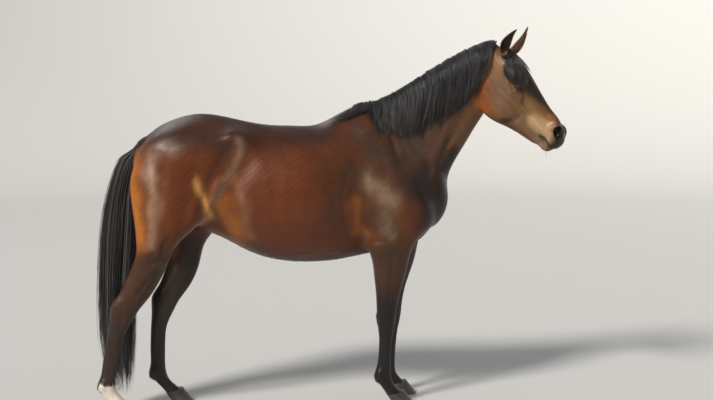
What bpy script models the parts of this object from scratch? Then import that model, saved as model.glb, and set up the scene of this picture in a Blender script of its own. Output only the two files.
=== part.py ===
"""A standing bay horse, life size, as a still museum-style model.

The animal is a smooth solid grown from anatomical forms: lofted trunk, neck, head and legs, with
ellipsoid muscles and tapered bones blended into them. The solid is then parted by thin cuts into
the nodes a person would name. Mane, forelock, tail, ears, eyes and hooves are nodes of their own.
Metres, +Z up. The horse faces +X and its right side is towards -Y.
"""

import math

import bmesh
import bpy
import numpy as np
import openvdb
from mathutils import Matrix, Vector

# ---------------------------------------------------------------- driving dimensions (metres)
BODY_CELL = 0.0095          # spacing of the sampling lattice for the flesh
HAIR_CELL = 0.0085          # ... for mane, forelock and tail
EAR_CELL = 0.0026           # ... for the ears
CUT_GAP = 0.0004            # thin cut that parts two neighbouring nodes
SURROUNDINGS = 0.02         # room left round a form when it is sampled
HALF_SPACE = 3.0            # size of the boxes that cut along a plane
ORIGIN_SHIFT = (-0.143, 0.008, 0.0)     # brings the middle of the animal over the origin

BODY_FACES = 4900           # triangles aimed at for the flesh
MANE_FACES = 500
FORELOCK_FACES = 150
TAIL_FACES = 400
EAR_FACES = 150

HEAD_HEADING = math.radians(-29.0)      # the head looks a little to the horse's right
HEAD_PITCH = math.radians(52.0)         # slope of the head's long axis below the horizontal
POLL = Vector((1.022, -0.088, 1.900))   # where the head's axis starts, between the ears

EYE_RADIUS = 0.0215
EYE_DETAIL = 2
EYE_PLACE = (0.221, 0.013, 0.079)       # along the head, up from its axis, out to the side
EAR_WALL = 0.0055

MANE_DEPTH = 0.024          # how far the mane stands off the neck
FORELOCK_DEPTH = 0.017

HOOF_SEGMENTS = 20
HOOF_HEIGHT = 0.078         # at the toe
CORONET_DROP = 0.028        # from toe to heel
CORONET_LENGTH = 0.050      # half the coronet's length; the next is half its width
CORONET_HALF = 0.043
SOLE_LENGTH = 0.066
SOLE_HALF = 0.056
HEEL_SHARE = 0.80           # the heel is shorter than the toe
HOOF_SETBACK = -0.047       # the coronet lies behind the sole, in line with the pastern
CORONET_LEVEL = 0.065
FORE_FOOT = (0.478, 0.122)  # middle of the right fore coronet and its distance from the midline
HIND_FOOT = (-0.985, 0.132)

NECK_CUT = ((0.500, 0.0, 1.400), (0.72, 0.0, 0.69))         # a point and the way forward
HEAD_CUT = ((0.972, -0.080, 1.760), (0.965, -0.20, 0.10))
ELBOW_CUT = (0.800, 1.0)    # height of the cut at the midline and its rise outward
STIFLE_CUT = (0.880, 0.75)

FAR = 1.0                   # value of the field well outside every form


# ---------------------------------------------------------------- smooth forms
def spline_table(stations, samples=240):
    """Natural cubic spline through the rows of stations (first column is the parameter)."""
    data = np.array(stations, dtype=float)
    order = np.argsort(data[:, 0])
    knots, values = data[order, 0], data[order, 1:]
    count = len(knots)
    steps = np.diff(knots)
    matrix = np.eye(count)
    right = np.zeros_like(values)
    for i in range(1, count - 1):
        matrix[i, i - 1] = steps[i - 1]
        matrix[i, i] = 2.0 * (steps[i - 1] + steps[i])
        matrix[i, i + 1] = steps[i]
        rise = (values[i + 1] - values[i]) / steps[i] - (values[i] - values[i - 1]) / steps[i - 1]
        right[i] = 6.0 * rise
    bend = np.linalg.solve(matrix, right)
    t = np.linspace(knots[0], knots[-1], samples)
    k = np.clip(np.searchsorted(knots, t) - 1, 0, count - 2)
    h = steps[k][:, None]
    a = (knots[k + 1] - t)[:, None] / h
    b = 1.0 - a
    cubic = ((a**3 - a) * bend[k] + (b**3 - b) * bend[k + 1]) * h**2 / 6.0
    return t, a * values[k] + b * values[k + 1] + cubic


class Loft:
    """Sections of superellipse shape along an axis.

    A station is (along, top, bottom, widest, side, half_width, power): the section reaches from
    bottom to top, is widest at the level widest, and lies about the side offset.
    """

    def __init__(self, origin, axis, up, stations, caps=(0.03, 0.03)):
        self.origin = np.array(origin, dtype=float)
        axis = Vector(axis).normalized()
        side = Vector(up).cross(axis).normalized()
        up = axis.cross(side).normalized()
        self.frame = np.array([axis, up, side])
        self.along, self.table = spline_table(stations)
        self.caps = caps

    def bounds(self):
        low = np.array([self.along[0] - self.caps[0], self.table[:, 1].min(),
                        (self.table[:, 3] - self.table[:, 4]).min()])
        high = np.array([self.along[-1] + self.caps[1], self.table[:, 0].max(),
                         (self.table[:, 3] + self.table[:, 4]).max()])
        corners = np.array([[x, y, z] for x in (low[0], high[0]) for y in (low[1], high[1])
                            for z in (low[2], high[2])])
        world = corners @ self.frame + self.origin
        return world.min(axis=0), world.max(axis=0)

    def distance(self, points):
        local = (points - self.origin) @ self.frame.T
        t = np.clip(local[:, 0], self.along[0], self.along[-1])
        top, bottom, widest, side, half, power = (
            np.interp(t, self.along, self.table[:, j]) for j in range(6))
        over = local[:, 0] - t
        cap = np.where(over < 0.0, self.caps[0], self.caps[1])
        rise = local[:, 1] - widest
        out = local[:, 2] - side
        reach = np.where(rise > 0.0, top - widest, widest - bottom)
        reach = np.maximum(reach, 1e-4)
        q = (np.abs(rise / reach)**power + np.abs(out / half)**power)**(1.0 / power)
        q = np.sqrt(q**2 + (over / cap)**2)
        q = np.maximum(q, 1e-6)
        return np.sqrt(rise**2 + out**2 + over**2) * (1.0 - 1.0 / q)


class Blob:
    """An ellipsoid with its long axis along a direction."""

    def __init__(self, centre, radii, axis=(0, 0, 1), up=(0, 1, 0)):
        self.centre = np.array(centre, dtype=float)
        self.radii = np.array(radii, dtype=float)
        axis = Vector(axis).normalized()
        side = Vector(up).cross(axis).normalized()
        up = axis.cross(side)
        self.frame = np.array([axis, up, side])

    def bounds(self):
        reach = np.sqrt(((self.frame * self.radii[:, None])**2).sum(axis=0))
        return self.centre - reach, self.centre + reach

    def distance(self, points):
        local = (points - self.centre) @ self.frame.T
        near = np.linalg.norm(local / self.radii, axis=1)
        slope = np.linalg.norm(local / self.radii**2, axis=1)
        return near * (near - 1.0) / np.maximum(slope, 1e-6)


class Bone:
    """A tapered rod with round ends."""

    def __init__(self, start, end, start_radius, end_radius):
        self.start = np.array(start, dtype=float)
        self.end = np.array(end, dtype=float)
        self.radii = (start_radius, end_radius)

    def bounds(self):
        wide = max(self.radii)
        return np.minimum(self.start, self.end) - wide, np.maximum(self.start, self.end) + wide

    def distance(self, points):
        run = self.end - self.start
        t = np.clip((points - self.start) @ run / (run @ run), 0.0, 1.0)
        gap = np.linalg.norm(points - self.start - t[:, None] * run, axis=1)
        return gap - (self.radii[0] + t * (self.radii[1] - self.radii[0]))


class Field:
    """Forms blended one after another into a single smooth solid."""

    def __init__(self):
        self.forms = []

    def add(self, form, blend):
        self.forms.append((form, blend, 1.0))

    def carve(self, form, blend):
        self.forms.append((form, blend, -1.0))

    def bounds(self):
        boxes = [form.bounds() for form, _, sign in self.forms if sign > 0]
        return np.min([box[0] for box in boxes], axis=0), np.max([box[1] for box in boxes], axis=0)

    def sample(self, low, high, cell):
        """The field's values on a lattice over a box, and the lattice's three axes."""
        axes = [np.arange(a - SURROUNDINGS, b + SURROUNDINGS + cell, cell)
                for a, b in zip(low, high)]
        start = np.array([axis[0] for axis in axes])
        shape = np.array([len(axis) for axis in axes])
        values = np.full(shape, FAR, dtype=np.float32)
        for form, blend, sign in self.forms:
            box_low, box_high = form.bounds()
            reach = blend + SURROUNDINGS + 2 * cell
            first = np.clip(np.floor((box_low - reach - start) / cell).astype(int), 0, shape)
            last = np.clip(np.ceil((box_high + reach - start) / cell).astype(int), 0, shape)
            if np.any(first >= last):
                continue
            part = tuple(slice(a, b) for a, b in zip(first, last))
            grid = np.meshgrid(*(axes[i][part[i]] for i in range(3)), indexing="ij")
            points = np.stack([g.ravel() for g in grid], axis=1)
            value = form.distance(points).reshape(grid[0].shape)
            values[part] = blended(values[part], value, blend, sign)
        return values, axes

    def mesh(self, name, cell):
        """The solid's surface as a mesh object."""
        return surface(name, *self.sample(*self.bounds(), cell))


def surface(name, values, axes):
    """Turn sampled values into a mesh object: the surface where they are zero."""
    lattice = openvdb.FloatGrid()
    lattice.background = FAR
    lattice.copyFromArray(np.ascontiguousarray(values, dtype=np.float32))
    points, triangles, quads = lattice.convertToPolygons(isovalue=0.0, adaptivity=0.0)
    cell = axes[0][1] - axes[0][0]
    start = np.array([axis[0] for axis in axes])
    faces = [tuple(face) for face in triangles] + [tuple(face) for face in quads]
    data = bpy.data.meshes.new(name)
    data.from_pydata((points * cell + start).tolist(), [], faces)
    mesh = bmesh.new()
    mesh.from_mesh(data)
    bmesh.ops.recalc_face_normals(mesh, faces=mesh.faces)
    mesh.to_mesh(data)
    mesh.free()
    return bpy.data.objects.new(name, data)


def blended(old, new, blend, sign):
    """Smooth union (sign 1) or smooth carving (sign -1) of two distance values."""
    overlap = np.maximum(blend - np.abs(old - sign * new), 0.0) / max(blend, 1e-6)
    if sign > 0:
        return np.minimum(old, new) - overlap**2 * blend * 0.25
    return np.maximum(old, -new) + overlap**2 * blend * 0.25


# ---------------------------------------------------------------- anatomy
def trunk_loft():
    """Barrel, loin, croup and withers; along X."""
    stations = [
        # along   top    bottom  widest  side  half   power
        (-0.870, 1.400, 1.130, 1.265, 0.0, 0.100, 2.0),
        (-0.800, 1.478, 1.040, 1.270, 0.0, 0.165, 1.95),
        (-0.680, 1.549, 0.990, 1.270, 0.0, 0.226, 1.95),
        (-0.560, 1.577, 0.960, 1.260, 0.0, 0.250, 1.95),
        (-0.440, 1.567, 0.915, 1.240, 0.0, 0.254, 2.05),
        (-0.320, 1.540, 0.850, 1.200, 0.0, 0.264, 2.1),
        (-0.180, 1.516, 0.797, 1.160, 0.0, 0.290, 2.05),
        (-0.040, 1.509, 0.776, 1.130, 0.0, 0.302, 2.0),
        (0.060, 1.512, 0.774, 1.115, 0.0, 0.294, 1.95),
        (0.125, 1.535, 0.776, 1.105, 0.0, 0.281, 1.9),
        (0.195, 1.573, 0.783, 1.100, 0.0, 0.262, 1.8),
        (0.280, 1.603, 0.797, 1.090, 0.0, 0.236, 1.7),
        (0.400, 1.585, 0.820, 1.080, 0.0, 0.204, 1.7),
        (0.520, 1.490, 0.850, 1.080, 0.0, 0.178, 1.85),
        (0.640, 1.360, 0.885, 1.090, 0.0, 0.145, 2.0),
        (0.700, 1.260, 0.950, 1.100, 0.0, 0.110, 2.0),
    ]
    return Loft((0, 0, 0), (1, 0, 0), (0, 0, 1), stations, caps=(0.03, 0.06))


def neck_loft():
    """Neck from the shoulders to the poll, bending to the horse's right."""
    stations = [
        # along   top    bottom  widest  side   half   power
        (-0.120, 0.180, -0.400, -0.060, 0.000, 0.160, 2.0),
        (0.000, 0.245, -0.430, -0.080, 0.000, 0.146, 2.0),
        (0.110, 0.236, -0.362, -0.080, -0.003, 0.122, 1.95),
        (0.220, 0.200, -0.306, -0.070, -0.010, 0.102, 1.9),
        (0.330, 0.170, -0.275, -0.060, -0.020, 0.090, 1.9),
        (0.440, 0.148, -0.243, -0.050, -0.034, 0.081, 1.9),
        (0.540, 0.122, -0.215, -0.040, -0.052, 0.076, 2.0),
        (0.630, 0.100, -0.175, -0.035, -0.070, 0.073, 2.1),
        (0.710, 0.076, -0.120, -0.020, -0.084, 0.068, 2.1),
    ]
    return Loft(*neck_axes(), stations, caps=(0.03, 0.045))


def head_frame():
    """Unit vectors along the head, up from its axis and out to the horse's right."""
    level = Vector((math.cos(HEAD_HEADING), math.sin(HEAD_HEADING), 0.0))
    along = level * math.cos(HEAD_PITCH) + Vector((0, 0, -math.sin(HEAD_PITCH)))
    up = level * math.sin(HEAD_PITCH) + Vector((0, 0, math.cos(HEAD_PITCH)))
    right = Vector((math.sin(HEAD_HEADING), -math.cos(HEAD_HEADING), 0.0))
    return along, up, right


def head_point(along, up, right):
    """A point given in the head's own frame, as a world point."""
    axes = head_frame()
    return POLL + axes[0] * along + axes[1] * up + axes[2] * right


def head_forms(field):
    """Skull, cheeks, orbits, muzzle, lips and chin."""
    along, up, _ = head_frame()
    skull = [
        # along   top    bottom  widest  side  half   power
        (-0.020, 0.040, -0.120, -0.030, 0.0, 0.062, 2.0),
        (0.050, 0.062, -0.150, -0.020, 0.0, 0.072, 2.1),
        (0.120, 0.083, -0.150, -0.010, 0.0, 0.080, 2.3),
        (0.200, 0.088, -0.150, -0.010, 0.0, 0.080, 2.5),
        (0.280, 0.080, -0.135, -0.012, 0.0, 0.064, 2.4),
        (0.360, 0.070, -0.115, -0.014, 0.0, 0.050, 2.3),
        (0.440, 0.064, -0.095, -0.014, 0.0, 0.043, 2.2),
        (0.520, 0.062, -0.080, -0.012, 0.0, 0.042, 2.1),
        (0.575, 0.040, -0.070, -0.018, 0.0, 0.040, 2.1),
    ]
    field.add(Loft(POLL, along, up, skull, caps=(0.04, 0.036)), 0.05)
    for side in (-1, 1):
        field.add(Blob(head_point(0.222, -0.112, side * 0.042), (0.116, 0.114, 0.036),
                       along, up), 0.035)
        field.add(Bone(head_point(0.340, -0.165, side * 0.036),
                       head_point(0.505, -0.094, side * 0.016), 0.038, 0.020), 0.03)
        field.add(Blob(head_point(0.185, 0.042, side * 0.078), (0.050, 0.026, 0.022),
                       along, up), 0.03)
        field.add(Blob(head_point(0.214, 0.008, side * 0.070), (0.042, 0.036, 0.026),
                       along, up), 0.02)
        field.add(Bone(head_point(0.250, -0.030, side * 0.070),
                       head_point(0.370, -0.050, side * 0.044), 0.013, 0.009), 0.025)
        field.add(Blob(head_point(0.552, 0.020, side * 0.036), (0.044, 0.040, 0.020),
                       along, up), 0.03)
    field.add(Blob(head_point(0.586, -0.022, 0.0), (0.038, 0.044, 0.044), along, up), 0.03)
    field.add(Blob(head_point(0.572, -0.082, 0.0), (0.036, 0.026, 0.032), along, up), 0.02)
    for side in (-1, 1):
        field.carve(Blob(head_point(0.556, 0.014, side * 0.060), (0.021, 0.013, 0.016),
                         along, up), 0.008)


def lead_at(table, height):
    """How far ahead a left leg stands at a height."""
    return float(np.interp(height, [row[0] for row in table][::-1],
                           [row[1] for row in table][::-1]))


def leg_loft(side, stations, lead):
    """A leg of level sections, from (height, rear, front, middle, half_width) stations."""
    rows = []
    for height, rear, front, middle, half in stations:
        ahead = lead_at(lead, height)
        rows.append((-height, front + ahead, rear + ahead, (front + rear) * 0.5 + ahead,
                     side * middle, half, 2.15))
    return Loft((0, 0, 0), (0, 0, -1), (1, 0, 0), rows, caps=(0.05, 0.02))


FORE_STATIONS = (
    # height  rear   front  middle  half width
    (1.100, 0.370, 0.640, 0.140, 0.070),
    (1.000, 0.340, 0.635, 0.150, 0.074),
    (0.920, 0.330, 0.605, 0.153, 0.078),
    (0.860, 0.329, 0.573, 0.151, 0.078),
    (0.800, 0.347, 0.553, 0.147, 0.072),
    (0.740, 0.358, 0.542, 0.143, 0.065),
    (0.680, 0.365, 0.526, 0.139, 0.058),
    (0.620, 0.372, 0.510, 0.135, 0.051),
    (0.560, 0.376, 0.497, 0.131, 0.046),
    (0.500, 0.379, 0.488, 0.128, 0.046),
    (0.460, 0.381, 0.484, 0.126, 0.047),
    (0.420, 0.386, 0.478, 0.125, 0.042),
    (0.375, 0.391, 0.469, 0.124, 0.033),
    (0.320, 0.391, 0.462, 0.123, 0.028),
    (0.260, 0.387, 0.459, 0.122, 0.027),
    (0.200, 0.376, 0.460, 0.122, 0.031),
    (0.155, 0.368, 0.463, 0.122, 0.036),
    (0.115, 0.394, 0.476, 0.122, 0.030),
    (0.065, 0.430, 0.526, 0.122, 0.042),
)

HIND_STATIONS = (
    (1.380, -0.850, -0.520, 0.105, 0.080),
    (1.280, -0.903, -0.480, 0.132, 0.108),
    (1.180, -0.914, -0.470, 0.146, 0.116),
    (1.080, -0.905, -0.505, 0.155, 0.112),
    (0.980, -0.893, -0.590, 0.160, 0.101),
    (0.920, -0.889, -0.655, 0.163, 0.091),
    (0.860, -0.890, -0.703, 0.163, 0.081),
    (0.800, -0.908, -0.728, 0.160, 0.073),
    (0.740, -0.933, -0.752, 0.156, 0.064),
    (0.680, -0.962, -0.785, 0.151, 0.054),
    (0.630, -0.992, -0.818, 0.146, 0.047),
    (0.590, -1.020, -0.850, 0.142, 0.042),
    (0.550, -1.030, -0.882, 0.138, 0.043),
    (0.510, -1.032, -0.906, 0.135, 0.041),
    (0.470, -1.036, -0.930, 0.133, 0.036),
    (0.420, -1.044, -0.954, 0.132, 0.031),
    (0.350, -1.058, -0.974, 0.132, 0.0275),
    (0.270, -1.072, -0.989, 0.132, 0.0275),
    (0.200, -1.087, -1.001, 0.132, 0.032),
    (0.155, -1.099, -1.002, 0.132, 0.037),
    (0.115, -1.074, -0.988, 0.132, 0.031),
    (0.065, -1.034, -0.936, 0.132, 0.042),
)

# how far each left leg stands ahead of the right one, by height
FORE_LEAD = ((1.20, 0.02), (0.82, 0.10), (0.60, 0.08), (0.30, 0.075), (0.00, 0.055))
HIND_LEAD = ((1.38, 0.00), (1.16, 0.10), (0.94, 0.19), (0.60, 0.210), (0.43, 0.222),
             (0.25, 0.250), (0.11, 0.276), (0.00, 0.290))
NO_LEAD = ((1.40, 0.0), (0.0, 0.0))
LEGS = (("right", -1, NO_LEAD, NO_LEAD), ("left", 1, FORE_LEAD, HIND_LEAD))


def leg_forms(field):
    """The four legs, each with its bony points."""
    for _, side, fore_lead, hind_lead in LEGS:
        field.add(leg_loft(side, FORE_STATIONS, fore_lead), 0.05)
        field.add(leg_loft(side, HIND_STATIONS, hind_lead), 0.06)
        hock = lead_at(hind_lead, 0.62)
        for face in (-1, 1):
            hollow = side * 0.147 + face * 0.058
            field.carve(Bone((-0.905 + hock, hollow, 0.760), (-0.975 + hock, hollow, 0.640),
                             0.018, 0.022), 0.03)
        knee = lead_at(fore_lead, 0.475)
        field.add(Bone((0.394 + knee, side * 0.122, 0.485), (0.400 + knee, side * 0.122, 0.455),
                       0.016, 0.014), 0.02)


def muscle_forms(field):
    """Shoulder, breast, haunch and the points of hip and elbow."""
    for side in (-1, 1):
        field.add(Bone((0.330, side * 0.072, 1.450), (0.590, side * 0.140, 1.060),
                       0.052, 0.060), 0.11)
        field.add(Blob((0.395, side * 0.150, 1.080), (0.190, 0.058, 0.120),
                       (-0.25, 0, 1), (0, 1, 0)), 0.06)
        field.add(Blob((0.600, side * 0.128, 1.020), (0.080, 0.066, 0.078),
                       (0, 0, 1), (0, 1, 0)), 0.06)
        field.add(Blob((0.685, side * 0.066, 1.115), (0.130, 0.080, 0.090),
                       (0.05, 0, 1), (0, 1, 0)), 0.05)
        field.add(Blob((-0.375, side * 0.195, 1.430), (0.036, 0.026, 0.040),
                       (0, 0, 1), (0, 1, 0)), 0.11)
        field.add(Blob((-0.620, side * 0.125, 1.360), (0.210, 0.120, 0.130),
                       (1, 0, -0.15), (0, 1, 0)), 0.09)
        field.carve(Blob((-0.385, side * 0.315, 1.290), (0.120, 0.060, 0.080),
                         (0.1, 0, 1), (0, 1, 0)), 0.09)


def body_field():
    """All the flesh as one solid."""
    field = Field()
    field.add(trunk_loft(), 0.0)
    field.add(neck_loft(), 0.09)
    leg_forms(field)
    muscle_forms(field)
    head_forms(field)
    return field


def neck_axes():
    """The neck's straight working axis: its foot, its direction and its upward normal."""
    return (0.45, 0, 1.36), (0.719, 0, 0.695), (-0.695, 0, 0.719)


def mane_region():
    """Where the mane lies: over the crest and down the right side of the neck."""
    stations = [
        # along   top    bottom  widest  side  half   power
        (-0.010, 0.200, 0.135, 0.165, -0.120, 0.100, 3.0),
        (0.070, 0.270, 0.080, 0.175, -0.120, 0.120, 3.0),
        (0.150, 0.330, 0.015, 0.172, -0.120, 0.134, 3.5),
        (0.260, 0.270, -0.030, 0.130, -0.125, 0.135, 4.0),
        (0.380, 0.250, -0.055, 0.100, -0.145, 0.135, 4.0),
        (0.500, 0.230, -0.085, 0.080, -0.165, 0.130, 4.0),
        (0.620, 0.200, -0.100, 0.050, -0.190, 0.127, 4.0),
        (0.720, 0.170, -0.070, 0.050, -0.205, 0.124, 4.0),
        (0.800, 0.140, 0.010, 0.070, -0.215, 0.117, 4.0),
    ]
    return Loft(*neck_axes(), stations, caps=(0.02, 0.02))


def forelock_region():
    """Where the forelock lies: between the ears and down the forehead to the right eye."""
    along, up, _ = head_frame()
    stations = [
        # along   top    bottom  widest  side   half   power
        (-0.030, 0.110, 0.000, 0.060, -0.010, 0.030, 3.0),
        (0.030, 0.130, 0.000, 0.065, -0.012, 0.036, 3.0),
        (0.100, 0.160, -0.020, 0.070, -0.045, 0.066, 3.0),
        (0.160, 0.160, -0.030, 0.065, -0.072, 0.055, 3.0),
        (0.195, 0.150, -0.010, 0.060, -0.080, 0.030, 3.0),
    ]
    return Loft(POLL, along, up, stations, caps=(0.02, 0.02))


def tail_field():
    """The hanging tail, from the dock almost to the ground."""
    stations = [
        # along    top     bottom  widest  side  half   power
        (-1.405, -0.790, -0.895, -0.850, 0.0, 0.030, 2.0),
        (-1.370, -0.810, -0.930, -0.875, 0.0, 0.040, 2.0),
        (-1.300, -0.840, -0.960, -0.900, 0.0, 0.050, 2.0),
        (-1.200, -0.855, -0.994, -0.925, 0.0, 0.060, 2.0),
        (-1.080, -0.865, -1.026, -0.945, 0.0, 0.068, 2.1),
        (-0.940, -0.872, -1.054, -0.960, 0.0, 0.073, 2.2),
        (-0.780, -0.880, -1.078, -0.975, 0.0, 0.075, 2.2),
        (-0.600, -0.884, -1.095, -0.985, 0.0, 0.074, 2.2),
        (-0.420, -0.886, -1.098, -0.990, 0.0, 0.067, 2.2),
        (-0.250, -0.896, -1.085, -0.990, 0.0, 0.053, 2.1),
        (-0.120, -0.915, -1.055, -0.985, 0.0, 0.035, 2.0),
    ]
    field = Field()
    field.add(Loft((0, 0, 0), (0, 0, -1), (1, 0, 0), stations, caps=(0.02, 0.05)), 0.0)
    return field


def ear_field(side):
    """One ear, a pointed cup opening forward and outward."""
    base = head_point(0.056, 0.050, side * 0.056)
    tip = head_point(-0.008, 0.190, side * 0.080)
    _, up, right = head_frame()
    ahead = (up + head_frame()[0] * 0.6).normalized()
    opening = (ahead * 0.66 + right * side * 0.75).normalized()
    axis = tip - base
    length = axis.length
    shell = []
    cup = []
    # outline of the ear: share of its length, half width, depth of the cup
    for share, half, depth in ((0.00, 0.019, 0.020), (0.20, 0.027, 0.024), (0.42, 0.031, 0.021),
                               (0.65, 0.026, 0.016), (0.84, 0.016, 0.011), (0.96, 0.007, 0.007)):
        along = share * length
        shell.append((along, depth * 0.5, -depth, -depth * 0.1, 0.0, half, 2.0))
        if 0.15 < share < 0.9:
            cup.append((along, depth * 1.5, EAR_WALL - depth, depth * 0.3, 0.0,
                        half - EAR_WALL * 0.8, 2.0))
    field = Field()
    field.add(Loft(base, axis, opening, shell, caps=(0.012, 0.008)), 0.0)
    field.carve(Loft(base, axis, opening, cup, caps=(0.012, 0.012)), 0.003)
    return field


# ---------------------------------------------------------------- materials and helpers
def finish(name, colour, roughness, metallic=0.0):
    """A Principled material."""
    material = bpy.data.materials.new(name)
    material.use_nodes = True
    shader = material.node_tree.nodes["Principled BSDF"]
    shader.inputs["Base Color"].default_value = (*colour, 1.0)
    shader.inputs["Roughness"].default_value = roughness
    shader.inputs["Metallic"].default_value = metallic
    material.diffuse_color = (*colour, 1.0)
    return material


def baked(item):
    """Replace the object's mesh by what its modifiers make of it."""
    graph = bpy.context.evaluated_depsgraph_get()
    data = bpy.data.meshes.new_from_object(item.evaluated_get(graph))
    item.modifiers.clear()
    item.data = data


def thinned(item, faces):
    """Reduce the mesh to about this many triangles."""
    modifier = item.modifiers.new("thin", "DECIMATE")
    item.data.calc_loop_triangles()
    modifier.ratio = min(1.0, faces / len(item.data.loop_triangles))
    baked(item)


def combined(item, tool, operation):
    """Cut the object with a tool, exactly."""
    modifier = item.modifiers.new("cut", "BOOLEAN")
    modifier.operation = operation
    modifier.object = tool
    baked(item)


def largest_piece(item):
    """Keep the largest connected piece, clean of doubled points."""
    mesh = bmesh.new()
    mesh.from_mesh(item.data)
    bmesh.ops.remove_doubles(mesh, verts=mesh.verts, dist=0.00005)
    bmesh.ops.dissolve_degenerate(mesh, edges=mesh.edges, dist=0.00005)
    seen = set()
    pieces = []
    for start in mesh.verts:
        if start in seen:
            continue
        seen.add(start)
        stack = [start]
        piece = []
        while stack:
            vert = stack.pop()
            piece.append(vert)
            for edge in vert.link_edges:
                other = edge.other_vert(vert)
                if other not in seen:
                    seen.add(other)
                    stack.append(other)
        pieces.append(piece)
    pieces.sort(key=len)
    for piece in pieces[:-1]:
        bmesh.ops.delete(mesh, geom=piece, context="VERTS")
    bmesh.ops.triangulate(mesh, faces=mesh.faces)
    mesh.to_mesh(item.data)
    mesh.free()


class Studio:
    """Keeps the collections, makes nodes and cutters."""

    def __init__(self):
        self.parts = bpy.data.collections.new("horse")
        self.cutters = bpy.data.collections.new("cutters")
        for collection in (self.parts, self.cutters):
            bpy.context.scene.collection.children.link(collection)

    def node(self, item, material):
        if item.name not in self.parts.objects:
            self.parts.objects.link(item)
        item.data.materials.clear()
        item.data.materials.append(material)
        return item

    def twin(self, item, name):
        """A copy of an object with a mesh of its own."""
        other = bpy.data.objects.new(name, item.data.copy())
        self.parts.objects.link(other)
        return other

    def tool(self, item):
        self.cutters.objects.link(item)
        item.hide_render = True
        item.display_type = "WIRE"
        return item

    def block(self, name, low, high, top=None):
        """A cutter box; top(x, y), where given, is the height of its upper corners."""
        mesh = bmesh.new()
        bmesh.ops.create_cube(mesh, size=1.0)
        for vert in mesh.verts:
            raised = vert.co.z > 0.0
            vert.co = [a + (b - a) * (c + 0.5) for a, b, c in zip(low, high, vert.co)]
            if raised and top:
                vert.co.z = top(vert.co.x, vert.co.y)
        return self.tool(object_from(name, mesh))

    def half_space(self, name, point, direction):
        """A large cutter box that fills the side of a plane towards direction."""
        mesh = bmesh.new()
        bmesh.ops.create_cube(mesh, size=HALF_SPACE)
        bmesh.ops.translate(mesh, verts=mesh.verts, vec=(0, 0, HALF_SPACE / 2))
        turn = Vector(direction).to_track_quat("Z", "Y").to_matrix().to_4x4()
        bmesh.ops.transform(mesh, matrix=Matrix.Translation(point) @ turn, verts=mesh.verts)
        return self.tool(object_from(name, mesh))


def object_from(name, mesh):
    """Make an object of a bmesh, and free the bmesh."""
    data = bpy.data.meshes.new(name)
    mesh.to_mesh(data)
    mesh.free()
    return bpy.data.objects.new(name, data)


def moved(item, offset):
    """Shift the mesh itself."""
    item.data.transform(Matrix.Translation(offset))


def grown(studio, item):
    """A cutter the shape of item, a thin gap larger all round."""
    mesh = bmesh.new()
    mesh.from_mesh(item.data)
    mesh.normal_update()
    offsets = [vert.normal * CUT_GAP for vert in mesh.verts]
    for vert, offset in zip(mesh.verts, offsets):
        vert.co += offset
    return studio.tool(object_from("room_for_" + item.name, mesh))


def placed(studio, item, material, faces, room):
    """Make item a node, thinned and cut to lie outside every cutter in room."""
    studio.node(item, material)
    thinned(item, faces)
    for tool in room:
        combined(item, tool, "DIFFERENCE")
    largest_piece(item)


def parted(studio, item, name, tool, direction):
    """Split the part of item inside tool off as a node; leave a thin cut facing direction."""
    piece = studio.twin(item, name)
    combined(piece, tool, "INTERSECT")
    moved(tool, Vector(direction) * -CUT_GAP)
    combined(item, tool, "DIFFERENCE")
    largest_piece(piece)
    largest_piece(item)
    return piece


# ---------------------------------------------------------------- nodes
def coronet_top(foot_x):
    """The sloping plane between pastern and hoof, as a height by (x, y)."""
    slope = CORONET_DROP / (2 * CORONET_LENGTH)
    return lambda x, y: HOOF_HEIGHT - CORONET_DROP / 2 + slope * (x - foot_x)


def hoof(name, foot_x, foot_y):
    """A hoof: a drum flared to the sole, with a sloping coronet and a squared heel."""
    mesh = bmesh.new()
    bmesh.ops.create_cone(mesh, cap_ends=True, segments=HOOF_SEGMENTS, radius1=1.0, radius2=1.0,
                          depth=1.0)
    top = coronet_top(foot_x)
    for vert in mesh.verts:
        forward, out = vert.co.x, vert.co.y
        share = HEEL_SHARE if forward < 0 else 1.0
        if vert.co.z > 0:
            vert.co.x = foot_x + forward * CORONET_LENGTH
            vert.co.y = foot_y + out * CORONET_HALF
            vert.co.z = top(vert.co.x, vert.co.y) - CUT_GAP
        else:
            vert.co.x = foot_x - HOOF_SETBACK + forward * SOLE_LENGTH * share
            vert.co.y = foot_y + out * SOLE_HALF
            vert.co.z = 0.0
    return object_from(name, mesh)


def eyeball(name, centre, radius):
    """A sphere for an eye."""
    mesh = bmesh.new()
    bmesh.ops.create_icosphere(mesh, subdivisions=EYE_DETAIL, radius=radius)
    bmesh.ops.translate(mesh, verts=mesh.verts, vec=centre)
    return object_from(name, mesh)


def hair_shell(name, body, region, depth):
    """Hair that lies on the body: everything in the region up to a depth off the skin."""
    values, axes = body.sample(*region.bounds(), HAIR_CELL)
    grid = np.meshgrid(*axes, indexing="ij")
    points = np.stack([g.ravel() for g in grid], axis=1)
    edge = region.distance(points).reshape(values.shape)
    return surface(name, np.maximum(values - depth, edge), axes)


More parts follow.
